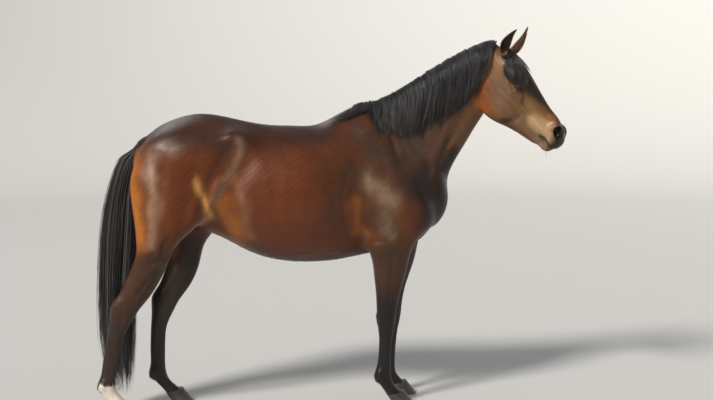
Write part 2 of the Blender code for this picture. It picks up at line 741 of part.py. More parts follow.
def main():
    for old in list(bpy.data.objects):
        bpy.data.objects.remove(old)
    studio = Studio()
    coat = finish("coat_bay", (0.150, 0.052, 0.022), 0.45)
    face = finish("coat_face", (0.230, 0.110, 0.050), 0.5)
    black = finish("coat_black", (0.020, 0.016, 0.015), 0.5)
    hair = finish("hair_black", (0.015, 0.014, 0.016), 0.4)
    horn = finish("hoof_horn", (0.060, 0.052, 0.045), 0.55)
    glassy = finish("eye_dark", (0.020, 0.010, 0.006), 0.1)

    field = body_field()
    body = studio.node(field.mesh("trunk", BODY_CELL), coat)
    thinned(body, BODY_FACES)
    largest_piece(body)

    for name, side in (("right", -1), ("left", 1)):
        centre = head_point(EYE_PLACE[0], EYE_PLACE[1], -side * EYE_PLACE[2])
        eye = studio.node(eyeball("eye_" + name, centre, EYE_RADIUS), glassy)
        combined(body, grown(studio, eye), "DIFFERENCE")
    for name, side, fore_lead, hind_lead in LEGS:
        for place, foot, lead in (("fore", FORE_FOOT, fore_lead), ("hind", HIND_FOOT, hind_lead)):
            foot_x = foot[0] + lead_at(lead, CORONET_LEVEL)
            foot_y = side * foot[1]
            studio.node(hoof("hoof_" + place + "_" + name, foot_x, foot_y), horn)
            room = 2 * SOLE_LENGTH
            cutter = studio.block("below_" + place + "_" + name,
                                  (foot_x - room, foot_y - CORONET_HALF * 1.5, -room),
                                  (foot_x + room, foot_y + CORONET_HALF * 1.5, 0),
                                  coronet_top(foot_x))
            combined(body, cutter, "DIFFERENCE")
    largest_piece(body)

    room = [grown(studio, body)]
    for name, side in (("right", 1), ("left", -1)):
        ear = ear_field(side).mesh("ear_" + name, EAR_CELL)
        placed(studio, ear, face, EAR_FACES, room[:1])
        room.append(grown(studio, ear))
    forelock = hair_shell("forelock", field, forelock_region(), FORELOCK_DEPTH)
    placed(studio, forelock, hair, FORELOCK_FACES, room)
    room.append(grown(studio, forelock))
    mane = hair_shell("mane", field, mane_region(), MANE_DEPTH)
    placed(studio, mane, hair, MANE_FACES, room)
    placed(studio, tail_field().mesh("tail", HAIR_CELL), hair, TAIL_FACES, room[:1])

    cut = studio.half_space("head_side", *HEAD_CUT)
    head = parted(studio, body, "head", cut, HEAD_CUT[1])
    studio.node(head, face)
    cut = studio.half_space("neck_side", *NECK_CUT)
    studio.node(parted(studio, body, "neck", cut, NECK_CUT[1]), coat)
    for name, side, fore_lead, hind_lead in LEGS:
        low = min(0.02 * side, 0.6 * side)
        high = max(0.02 * side, 0.6 * side)
        reach = lead_at(hind_lead, 0.9)
        cut = studio.block("foreleg_side_" + name, (0.300, low, -1.0), (0.720, high, 1.0),
                           lambda x, y: ELBOW_CUT[0] + ELBOW_CUT[1] * abs(y))
        studio.node(parted(studio, body, "foreleg_" + name, cut, (0, 0, -1)), black)
        cut = studio.block("hindleg_side_" + name, (-1.300, low, -1.0),
                           (-0.520 + reach, high, 1.0),
                           lambda x, y: STIFLE_CUT[0] + STIFLE_CUT[1] * abs(y))
        studio.node(parted(studio, body, "hindleg_" + name, cut, (0, 0, -1)), black)
    studio.node(body, coat)
    for item in (*studio.parts.objects, *studio.cutters.objects):
        moved(item, ORIGIN_SHIFT)


main()
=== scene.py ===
"""The looks of a standing bay horse: one skin, eyes, hooves, and its hair in locks and tufts.

The skin is grown from anatomical forms: lofts for trunk, neck, head and legs, ellipsoid muscles,
tapered bones, and fine ridges and grooves for veins, tendons and folds. It replaces the plain
solids of the flesh and lies just inside them. Metres, +Z up, the horse faces +X. The forms are
given in the animal's own axes, and every finished mesh is shifted once, by ORIGIN_SHIFT.
"""

import logging
import math
from dataclasses import dataclass, field
from enum import Enum
from typing import Callable, Protocol, Sequence

import bmesh
import bpy
import numpy as np
import openvdb
from mathutils import Matrix, Vector


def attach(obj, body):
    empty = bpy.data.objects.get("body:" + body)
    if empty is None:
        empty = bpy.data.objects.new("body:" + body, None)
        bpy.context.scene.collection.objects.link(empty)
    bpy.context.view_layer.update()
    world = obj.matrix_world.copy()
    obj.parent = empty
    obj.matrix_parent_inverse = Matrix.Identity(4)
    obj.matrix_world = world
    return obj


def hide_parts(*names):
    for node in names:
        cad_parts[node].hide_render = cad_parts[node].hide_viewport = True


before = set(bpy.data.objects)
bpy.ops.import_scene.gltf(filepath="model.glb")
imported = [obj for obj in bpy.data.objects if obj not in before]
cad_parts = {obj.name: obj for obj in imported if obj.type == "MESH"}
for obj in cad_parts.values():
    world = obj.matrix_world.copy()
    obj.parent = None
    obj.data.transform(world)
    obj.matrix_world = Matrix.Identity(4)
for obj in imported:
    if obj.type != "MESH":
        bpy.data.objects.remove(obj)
log = logging.getLogger("horse")

Array = np.ndarray
Triple = tuple[float, float, float]
Place = Sequence[float]
Item, Mesh = bpy.types.Object, bpy.types.Mesh
Material, Tree = bpy.types.Material, bpy.types.NodeTree
Node, Socket = bpy.types.Node, bpy.types.NodeSocket

# ---------------------------------------------------------------- driving dimensions (metres)
ORIGIN_SHIFT: Triple = (-0.143, 0.008, 0.0)   # from the animal's own axes to the frame's
BODY = "root"                                  # the one body of a still model
COAT_DEPTH = 0.002                             # how far the skin lies under the hair's outline
BODY_CELL = 0.0065                             # spacing of the sampling lattice for the body
HEAD_CELL = 0.0026
BODY_TRIANGLES = 106_000
HEAD_TRIANGLES = 84_000
JOIN_GAP = 0.005                               # width of the strip that joins head and body
FAR = 1.0                                      # value of the field well outside every form
SURROUNDINGS = 0.02                            # room left round a form when it is sampled
STRIDE = 0.004                                 # step along a way that looks for the surface

HEAD_HEADING = math.radians(-29.0)             # the head looks a little to the horse's right
HEAD_PITCH = math.radians(52.0)                # slope of the head's long axis downward
POLL = Vector((1.022, -0.088, 1.900))          # where the head's axis starts, between the ears
EYE_RADIUS = 0.0213
EYE_PLACE: Triple = (0.230, 0.010, 0.079)      # along the head, up from its axis, out to the side
EAR_WALL = 0.0045

FORE_FOOT = (0.478, 0.122)                     # right fore coronet, and its distance outward
HIND_FOOT = (-0.985, 0.132)
SIDES = (-1, 1)                                # the horse's right and left, as the sign of y


class Side(Enum):
    """The horse's right and left, with the sign of y on that side."""

    RIGHT = -1
    LEFT = 1


# ---------------------------------------------------------------- smooth forms
def spline_table(stations: Sequence[Place], samples: int = 240) -> tuple[Array, Array]:
    """Natural cubic spline through the rows of stations.

    Args:
        stations: rows whose first column is the parameter.
        samples: number of even steps.

    Returns:
        The parameter at each step, and the other columns there.
    """
    data = np.array(stations, dtype=float)
    data = data[np.argsort(data[:, 0])]
    knots, values = data[:, 0], data[:, 1:]
    count = len(knots)
    steps = np.diff(knots)
    matrix = np.eye(count)
    right = np.zeros_like(values)
    for i in range(1, count - 1):
        matrix[i, i - 1] = steps[i - 1]
        matrix[i, i] = 2.0 * (steps[i - 1] + steps[i])
        matrix[i, i + 1] = steps[i]
        rise = (values[i + 1] - values[i]) / steps[i] - (values[i] - values[i - 1]) / steps[i - 1]
        right[i] = 6.0 * rise
    bend = np.linalg.solve(matrix, right)
    t = np.linspace(knots[0], knots[-1], samples)
    k = np.clip(np.searchsorted(knots, t) - 1, 0, count - 2)
    h = steps[k][:, None]
    a = (knots[k + 1] - t)[:, None] / h
    b = 1.0 - a
    cubic = ((a**3 - a) * bend[k] + (b**3 - b) * bend[k + 1]) * h**2 / 6.0
    return t, a * values[k] + b * values[k + 1] + cubic


def smooth_path(points: Sequence[Place], samples: int) -> Array:
    """A smooth curve through points, as evenly parametrised samples."""
    rows = np.array(points, dtype=float)
    return spline_table(np.column_stack([np.linspace(0.0, 1.0, len(rows)), rows]), samples)[1]


def from_table(rows: Sequence[Place], at: Array | float, column: int = 1) -> Array | float:
    """Read a column of a table between its rows.

    Args:
        rows: the table, whose first column rises.
        at: where to read it.
        column: which column.

    Returns:
        The value at each place.
    """
    data = np.array(rows, dtype=float)
    return np.interp(at, data[:, 0], data[:, column])


def axes_of(along: Place, up: Place) -> Array:
    """Unit rows: along, the part of up square to it, and up x along.

    Args:
        along: the first row's direction.
        up: the way the second row leans.

    Returns:
        The three rows.
    """
    ahead = Vector(along).normalized()
    side = Vector(up).cross(ahead).normalized()
    return np.array([ahead, ahead.cross(side), side])


class Form(Protocol):
    """Anything with a box and a signed distance, negative inside."""

    def bounds(self) -> tuple[Array, Array]:
        """Lowest and highest corner."""

    def distance(self, points: Array) -> Array:
        """Rough signed distance of each point."""


class Loft:
    """Sections of superellipse shape along an axis.

    A station is (along, top, bottom, widest, side, half_width, power): the section reaches from
    bottom to top, is widest at the level widest, and lies about the side offset.
    """

    def __init__(self, origin: Place, axis: Place, up: Place,
                 stations: Sequence[Place],
                 caps: tuple[float, float] = (0.03, 0.03)) -> None:
        """Fit a spline through the stations.

        Args:
            origin: point where along, top and side are zero.
            axis: direction of along.
            up: direction of top; the side axis is up x axis.
            stations: the sections.
            caps: length of the rounding past the first and last section.
        """
        self.origin = np.array(origin, dtype=float)
        self.frame = axes_of(axis, up)
        self.along, self.table = spline_table(stations)
        self.caps = caps

    def bounds(self) -> tuple[Array, Array]:
        """Lowest and highest corner."""
        low = (self.along[0] - self.caps[0], self.table[:, 1].min(),
               (self.table[:, 3] - self.table[:, 4]).min())
        high = (self.along[-1] + self.caps[1], self.table[:, 0].max(),
                (self.table[:, 3] + self.table[:, 4]).max())
        corners = np.array([[x, y, z] for x in (low[0], high[0]) for y in (low[1], high[1])
                            for z in (low[2], high[2])])
        world = corners @ self.frame + self.origin
        return world.min(axis=0), world.max(axis=0)

    def distance(self, points: Array) -> Array:
        """Rough signed distance of each point.

        Args:
            points: places in the animal's own axes.

        Returns:
            Negative inside, and about true near the surface.
        """
        local = (points - self.origin) @ self.frame.T
        t = np.clip(local[:, 0], self.along[0], self.along[-1])
        top, bottom, widest, side, half, power = (
            np.interp(t, self.along, self.table[:, j]) for j in range(6))
        over = local[:, 0] - t
        cap = np.where(over < 0.0, self.caps[0], self.caps[1])
        rise = local[:, 1] - widest
        out = local[:, 2] - side
        reach = np.maximum(np.where(rise > 0.0, top - widest, widest - bottom), 1e-4)
        q = (np.abs(rise / reach)**power + np.abs(out / half)**power)**(1.0 / power)
        q = np.maximum(np.sqrt(q**2 + (over / cap)**2), 1e-6)
        return np.sqrt(rise**2 + out**2 + over**2) * (1.0 - 1.0 / q)


class Blob:
    """An ellipsoid with its long axis along a direction."""

    def __init__(self, centre: Place, radii: Triple,
                 axis: Place = (0, 0, 1), up: Place = (0, 1, 0)) -> None:
        """Keep its middle, half sizes and axes.

        Args:
            centre: its middle.
            radii: its half sizes along axis, along up and across.
            axis: the first radius's direction.
            up: the way the second one leans.
        """
        self.centre = np.array(centre, dtype=float)
        self.radii = np.array(radii, dtype=float)
        self.frame = axes_of(axis, up)

    def bounds(self) -> tuple[Array, Array]:
        """Lowest and highest corner."""
        reach = np.sqrt(((self.frame * self.radii[:, None])**2).sum(axis=0))
        return self.centre - reach, self.centre + reach

    def distance(self, points: Array) -> Array:
        """Rough signed distance of each point.

        Args:
            points: places in the animal's own axes.

        Returns:
            Negative inside, and about true near the surface.
        """
        local = (points - self.centre) @ self.frame.T
        near = np.linalg.norm(local / self.radii, axis=1)
        slope = np.linalg.norm(local / self.radii**2, axis=1)
        return near * (near - 1.0) / np.maximum(slope, 1e-6)


class Bone:
    """A tapered rod with round ends."""

    def __init__(self, start: Place, end: Place,
                 start_radius: float, end_radius: float) -> None:
        """Keep both ends and their radii.

        Args:
            start: middle of one round end.
            end: middle of the other.
            start_radius: radius of the first.
            end_radius: radius of the other.
        """
        self.start = np.array(start, dtype=float)
        self.end = np.array(end, dtype=float)
        self.radii = (start_radius, end_radius)

    def bounds(self) -> tuple[Array, Array]:
        """Lowest and highest corner."""
        wide = max(self.radii)
        return np.minimum(self.start, self.end) - wide, np.maximum(self.start, self.end) + wide

    def distance(self, points: Array) -> Array:
        """Rough signed distance of each point.

        Args:
            points: places in the animal's own axes.

        Returns:
            Negative inside, and about true near the surface.
        """
        run = self.end - self.start
        t = np.clip((points - self.start) @ run / (run @ run), 0.0, 1.0)
        gap = np.linalg.norm(points - self.start - t[:, None] * run, axis=1)
        return gap - (self.radii[0] + t * (self.radii[1] - self.radii[0]))


class Ridge:
    """A soft ridge (height above 0) or groove (below 0) that follows a path on the skin."""

    STEPS = 14                                  # straight runs that stand for the smooth path
    REACH = 2.6                                 # widths from the path at which it ends
    END = 0.22                                  # share of its length over which an end fades

    def __init__(self, path: Sequence[Place], width: float, height: float,
                 fading: bool = True) -> None:
        """Keep the smooth path and its profile.

        Args:
            path: points on or near the skin.
            width: distance from the path at which it has mostly gone.
            height: its rise along the middle.
            fading: whether it dies away towards both ends.
        """
        self.path = smooth_path(path, self.STEPS) if len(path) > 2 else np.array(path, float)
        self.width = width
        self.height = height
        self.fading = fading

    def bounds(self) -> tuple[Array, Array]:
        """Lowest and highest corner of what it reaches."""
        reach = self.REACH * self.width
        return self.path.min(axis=0) - reach, self.path.max(axis=0) + reach

    def rise(self, points: Array) -> Array:
        """How far it lifts the surface at each point, fading out towards both ends.

        Args:
            points: places in the animal's own axes.

        Returns:
            Metres at each point.
        """
        best = np.full(len(points), np.inf)
        share = np.zeros(len(points))
        runs = len(self.path) - 1
        for i, (start, end) in enumerate(zip(self.path[:-1], self.path[1:])):
            run = end - start
            t = np.clip((points - start) @ run / (run @ run), 0.0, 1.0)
            gap = ((points - start - t[:, None] * run)**2).sum(axis=1)
            closer = gap < best
            best = np.where(closer, gap, best)
            share = np.where(closer, (i + t) / runs, share)
        ends = np.clip(np.minimum(share, 1.0 - share) / self.END, 0.0, 1.0)
        fade = ends * ends * (3.0 - 2.0 * ends) if self.fading else 1.0
        return self.height * fade * np.exp(-best / self.width**2)


def blended(old: Array, new: Array, blend: float, sign: float) -> Array:
    """Smooth union (sign 1) or smooth carving (sign -1) of two distance values.

    Args:
        old: distances so far.
        new: distances of the form that comes on.
        blend: width of the soft join.
        sign: 1 to join it on, -1 to take it away.

    Returns:
        The distances with it.
    """
    overlap = np.maximum(blend - np.abs(old - sign * new), 0.0) / max(blend, 1e-6)
    if sign > 0:
        return np.minimum(old, new) - overlap**2 * blend * 0.25
    return np.maximum(old, -new) + overlap**2 * blend * 0.25


class Flesh:
    """Forms blended one after another into a single smooth solid, then ridged and grooved."""

    def __init__(self) -> None:
        """Start empty."""
        self.forms: list[tuple[Form, float, float]] = []
        self.ridges: list[Ridge] = []

    def add(self, form: Form, blend: float) -> None:
        """Join a form on, with a blend this wide."""
        self.forms.append((form, blend, 1.0))

    def carve(self, form: Form, blend: float) -> None:
        """Take a form away, with a blend this wide."""
        self.forms.append((form, blend, -1.0))

    def bounds(self) -> tuple[Array, Array]:
        """Lowest and highest corner."""
        boxes = [form.bounds() for form, _, sign in self.forms if sign > 0]
        return np.min([box[0] for box in boxes], axis=0), np.max([box[1] for box in boxes], axis=0)

    def value(self, points: Array) -> Array:
        """The field at any points: negative inside.

        Args:
            points: places in the animal's own axes.

        Returns:
            One number for each point.
        """
        values = np.full(len(points), FAR)
        for form, blend, sign in self.forms:
            low, high = form.bounds()
            reach = blend + SURROUNDINGS
            near = np.all((points > low - reach) & (points < high + reach), axis=1)
            if near.any():
                values[near] = blended(values[near], form.distance(points[near]), blend, sign)
        for ridge in self.ridges:
            low, high = ridge.bounds()
            near = np.all((points > low) & (points < high), axis=1)
            if near.any():
                values[near] -= ridge.rise(points[near])
        return values

    def sample(self, low: Array, high: Array, cell: float) -> tuple[Array, list[Array]]:
        """Work the field out on a lattice.

        Args:
            low: lowest corner of the box it covers.
            high: highest corner.
            cell: spacing of the lattice.

        Returns:
            The values, and the lattice's three axes.
        """
        axes = [np.arange(a - SURROUNDINGS, b + SURROUNDINGS + cell, cell)
                for a, b in zip(low, high)]
        start = np.array([axis[0] for axis in axes])
        shape = np.array([len(axis) for axis in axes])
        values = np.full(shape, FAR, dtype=np.float32)

        def window(box: tuple[Array, Array], reach: float) -> tuple[slice, ...] | None:
            """The lattice's part within reach of a box.

            Args:
                box: lowest and highest corner.
                reach: how far outside it still counts.

            Returns:
                Slices along the three axes, or None where it is off the lattice.
            """
            first = np.clip(np.floor((box[0] - reach - start) / cell).astype(int), 0, shape)
            last = np.clip(np.ceil((box[1] + reach - start) / cell).astype(int), 0, shape)
            return None if np.any(first >= last) else tuple(map(slice, first, last))

        def places(part: tuple[slice, ...]) -> Array:
            """The lattice points in a window."""
            grid = np.meshgrid(*(axes[i][part[i]] for i in range(3)), indexing="ij")
            return np.stack([g.ravel() for g in grid], axis=1)

        for form, blend, sign in self.forms:
            part = window(form.bounds(), blend + SURROUNDINGS + 2 * cell)
            if part:
                value = form.distance(places(part)).reshape(values[part].shape)
                values[part] = blended(values[part], value, blend, sign)
        for ridge in self.ridges:
            part = window(ridge.bounds(), 0.0)
            if part:
                values[part] -= ridge.rise(places(part)).reshape(values[part].shape)
        return values, axes

    def on_skin(self, place: Place, inward: Place, reach: float = 0.5) -> Array:
        """The first point of the surface met on a straight way in.

        Args:
            place: a point the way passes through; it starts reach before it.
            inward: direction of the way.
            reach: how far before and past the place to look.

        Returns:
            The point on the surface, or the place itself where none is met.
        """
        ahead = np.array(Vector(inward).normalized())
        t = np.arange(-reach, reach, STRIDE)
        values = self.value(np.array(place, float) + t[:, None] * ahead)
        inside = np.flatnonzero(values < 0.0)
        if len(inside) == 0 or inside[0] == 0:
            return np.array(place, float)
        k = inside[0]
        share = values[k - 1] / (values[k - 1] - values[k])
        return np.array(place, float) + (t[k - 1] + share * STRIDE) * ahead


def solid_mesh(name: str, places: Sequence, faces: Sequence, triangles: bool = False) -> Mesh:
    """A mesh with its faces turned outwards.

    Args:
        name: the mesh's name.
        places: its vertices.
        faces: each face's vertices, by number.
        triangles: whether to cut the faces into triangles.

    Returns:
        The mesh.
    """
    data = bpy.data.meshes.new(name)
    data.from_pydata(places, [], faces)
    mesh = bmesh.new()
    mesh.from_mesh(data)
    bmesh.ops.recalc_face_normals(mesh, faces=mesh.faces)
    if triangles:
        bmesh.ops.triangulate(mesh, faces=mesh.faces)
    mesh.to_mesh(data)
    mesh.free()
    return data


def surface(name: str, values: Array, axes: Sequence[Array], level: float = 0.0) -> Mesh:
    """Turn sampled values into a mesh: the surface where they equal a level.

    Args:
        name: the mesh's name.
        values: a field sampled on a lattice.
        axes: the lattice's three axes.
        level: the value on the surface.

    Returns:
        The mesh.
    """
    lattice = openvdb.FloatGrid()
    lattice.background = FAR
    lattice.copyFromArray(np.ascontiguousarray(values, dtype=np.float32))
    points, triangles, quads = lattice.convertToPolygons(isovalue=level, adaptivity=0.0)
    cell = axes[0][1] - axes[0][0]
    start = np.array([axis[0] for axis in axes])
    return solid_mesh(name, points * cell + start, [*triangles.tolist(), *quads.tolist()])


# ---------------------------------------------------------------- the animal's own axes
def head_axes() -> Array:
    """Unit rows: along the head, up from its axis, and out to the horse's right.

    Returns:
        The three rows.
    """
    level = np.array([math.cos(HEAD_HEADING), math.sin(HEAD_HEADING), 0.0])
    up = np.array([0.0, 0.0, 1.0])
    along = level * math.cos(HEAD_PITCH) - up * math.sin(HEAD_PITCH)
    over = level * math.sin(HEAD_PITCH) + up * math.cos(HEAD_PITCH)
    right = np.array([math.sin(HEAD_HEADING), -math.cos(HEAD_HEADING), 0.0])
    return np.array([along, over, right])


HEAD = head_axes()
NECK_FOOT = np.array([0.45, 0.0, 1.36])         # foot of the neck's straight working axis
NECK = axes_of((0.719, 0, 0.695), (-0.695, 0, 0.719))


def head_point(along: float, up: float, right: float) -> Array:
    """A point given in the head's own axes."""
    return np.array(POLL) + np.array([along, up, right]) @ HEAD


def in_head(points: Array) -> Array:
    """Points in the head's own axes."""
    return (points - np.array(POLL)) @ HEAD.T


def in_neck(points: Array) -> Array:
    """Points in the neck's own axes: along, up and out to the left."""
    return (points - NECK_FOOT) @ NECK.T


def ear_frame(base: Triple, tip: Triple, ahead: float, outward: float
              ) -> tuple[Array, Array, Array, float]:
    """An ear's base, axis, opening direction and length, from its ends on the head.

    Args:
        base: middle of its root, in the head's axes.
        tip: its tip, in the head's axes.
        ahead: how much it opens forward.
        outward: how much it opens to the horse's right, negative to the left.

    Returns:
        The base and the axis in space, the way it opens, and its length.
    """
    root, end = head_point(*base), head_point(*tip)
    opening = HEAD[1] * 0.86 * ahead + HEAD[0] * 0.51 * ahead + HEAD[2] * outward
    length = float(np.linalg.norm(end - root))
    return root, (end - root) / length, opening / np.linalg.norm(opening), length


# by the sign of the head's own right
EARS = {1: ear_frame((0.062, 0.044, 0.066), (-0.006, 0.184, 0.095), 0.62, 0.78),
        -1: ear_frame((0.060, 0.046, -0.060), (-0.004, 0.208, -0.134), 0.85, 0.30)}
# share of an ear's length, half its width, depth of its cup
EAR_PROFILE = ((0.00, .019, .020), (0.20, .026, .024), (0.42, .0285, .021),
               (0.65, .0205, .016), (0.84, .0115, .010), (0.95, .0055, .006), (1.01, .0015, .003))


def ear_curl(side: int, share: Array | float) -> Array | float:
    """How far an ear's middle line bows outward, and its tip inward."""
    return side * (0.017 * np.sin(share * math.pi) - 0.009 * share**3)


def in_ear(points: Array, side: int) -> Array:
    """Points in an ear's own axes: share of its length, depth toward the opening, across.

    Args:
        points: places in the animal's own axes.
        side: the sign of the head's own right.

    Returns:
        The three measures of each point.
    """
    base, axis, opening, length = EARS[side]
    local = (points - base) @ axes_of(axis, opening).T
    share = local[:, 0] / length
    bowed = ear_curl(side, np.clip(share, 0.0, 1.0))
    return np.column_stack([share, local[:, 1], local[:, 2] - bowed])


TRUNK_STATIONS = (
    # along   top    bottom  widest  side  half   power
    (-0.870, 1.400, 1.130, 1.265, 0.0, 0.100, 2.0),
    (-0.800, 1.478, 1.040, 1.270, 0.0, 0.165, 1.95),
    (-0.680, 1.549, 0.990, 1.270, 0.0, 0.226, 1.95),
    (-0.560, 1.577, 0.960, 1.260, 0.0, 0.250, 1.95),
    (-0.440, 1.567, 0.915, 1.240, 0.0, 0.254, 2.05),
    (-0.320, 1.540, 0.850, 1.200, 0.0, 0.264, 2.1),
    (-0.180, 1.516, 0.797, 1.160, 0.0, 0.290, 2.05),
    (-0.040, 1.509, 0.776, 1.130, 0.0, 0.302, 2.0),
    (0.060, 1.512, 0.774, 1.115, 0.0, 0.294, 1.95),
    (0.125, 1.535, 0.776, 1.105, 0.0, 0.281, 1.9),
    (0.195, 1.573, 0.783, 1.100, 0.0, 0.262, 1.8),
    (0.280, 1.603, 0.797, 1.090, 0.0, 0.236, 1.7),
    (0.400, 1.585, 0.820, 1.080, 0.0, 0.204, 1.7),
    (0.520, 1.490, 0.850, 1.080, 0.0, 0.178, 1.85),
    (0.640, 1.360, 0.885, 1.090, 0.0, 0.145, 2.0),
    (0.700, 1.260, 0.950, 1.100, 0.0, 0.110, 2.0),
)
NECK_STATIONS = (
    (-0.120, 0.180, -0.400, -0.060, 0.000, 0.160, 2.0),
    (0.000, 0.245, -0.430, -0.080, 0.000, 0.146, 2.0),
    (0.110, 0.236, -0.362, -0.080, -0.003, 0.122, 1.95),
    (0.220, 0.200, -0.306, -0.070, -0.010, 0.102, 1.9),
    (0.330, 0.170, -0.275, -0.060, -0.020, 0.090, 1.9),
    (0.440, 0.148, -0.243, -0.050, -0.034, 0.081, 1.9),
    (0.540, 0.122, -0.215, -0.040, -0.052, 0.076, 2.0),
    (0.630, 0.100, -0.175, -0.035, -0.070, 0.073, 2.1),
    (0.710, 0.076, -0.120, -0.020, -0.084, 0.068, 2.1),
)
SKULL_STATIONS = (
    (-0.020, 0.040, -0.120, -0.030, 0.0, 0.062, 2.0),
    (0.050, 0.062, -0.150, -0.020, 0.0, 0.072, 2.1),
    (0.120, 0.083, -0.150, -0.010, 0.0, 0.080, 2.3),
    (0.200, 0.088, -0.150, -0.010, 0.0, 0.080, 2.5),
    (0.280, 0.080, -0.135, -0.012, 0.0, 0.064, 2.4),
    (0.360, 0.070, -0.115, -0.014, 0.0, 0.050, 2.3),
    (0.440, 0.064, -0.095, -0.014, 0.0, 0.043, 2.2),
    (0.520, 0.062, -0.080, -0.012, 0.0, 0.042, 2.1),
    (0.575, 0.040, -0.070, -0.018, 0.0, 0.040, 2.1),
)
FORE_STATIONS = (
    # height  rear   front  middle  half width
    (1.100, 0.370, 0.640, 0.140, 0.070),
    (1.000, 0.340, 0.635, 0.150, 0.074),
    (0.920, 0.330, 0.605, 0.153, 0.078),
    (0.860, 0.329, 0.573, 0.151, 0.078),
    (0.800, 0.347, 0.553, 0.147, 0.072),
    (0.740, 0.358, 0.542, 0.143, 0.065),
    (0.680, 0.365, 0.526, 0.139, 0.058),
    (0.620, 0.372, 0.510, 0.135, 0.051),
    (0.560, 0.376, 0.497, 0.131, 0.046),
    (0.500, 0.379, 0.488, 0.128, 0.046),
    (0.460, 0.381, 0.484, 0.126, 0.047),
    (0.420, 0.386, 0.478, 0.125, 0.042),
    (0.375, 0.391, 0.469, 0.124, 0.033),
    (0.320, 0.391, 0.462, 0.123, 0.028),
    (0.260, 0.387, 0.459, 0.122, 0.027),
    (0.200, 0.376, 0.460, 0.122, 0.031),
    (0.155, 0.368, 0.463, 0.122, 0.036),
    (0.115, 0.394, 0.476, 0.122, 0.030),
    (0.065, 0.430, 0.526, 0.122, 0.042),
)
HIND_STATIONS = (
    (1.380, -0.850, -0.520, 0.105, 0.080),
    (1.280, -0.903, -0.480, 0.132, 0.108),
    (1.180, -0.914, -0.470, 0.146, 0.116),
    (1.080, -0.905, -0.505, 0.155, 0.112),
    (0.980, -0.893, -0.590, 0.160, 0.101),
    (0.920, -0.889, -0.655, 0.163, 0.091),
    (0.860, -0.890, -0.703, 0.163, 0.081),
    (0.800, -0.908, -0.728, 0.160, 0.073),
    (0.740, -0.933, -0.752, 0.156, 0.064),
    (0.680, -0.962, -0.785, 0.151, 0.054),
    (0.630, -0.992, -0.818, 0.146, 0.047),
    (0.590, -1.020, -0.850, 0.142, 0.042),
    (0.550, -1.030, -0.882, 0.138, 0.043),
    (0.510, -1.032, -0.906, 0.135, 0.041),
    (0.470, -1.036, -0.930, 0.133, 0.036),
    (0.420, -1.044, -0.954, 0.132, 0.031),
    (0.350, -1.058, -0.974, 0.132, 0.0275),
    (0.270, -1.072, -0.989, 0.132, 0.0275),
    (0.200, -1.087, -1.001, 0.132, 0.032),
    (0.155, -1.099, -1.002, 0.132, 0.037),
    (0.115, -1.074, -0.988, 0.132, 0.031),
    (0.065, -1.034, -0.936, 0.132, 0.042),
)
# how far each left leg stands ahead of the right one, by height
FORE_LEAD = ((0.00, 0.055), (0.30, 0.075), (0.60, 0.08), (0.82, 0.10), (1.20, 0.02))
HIND_LEAD = ((0.00, 0.290), (0.11, 0.276), (0.25, 0.250), (0.43, 0.222), (0.60, 0.210),
             (0.66, 0.208), (0.80, 0.188), (0.94, 0.172), (1.16, 0.09), (1.38, 0.00))
NO_LEAD = ((0.0, 0.0), (1.40, 0.0))


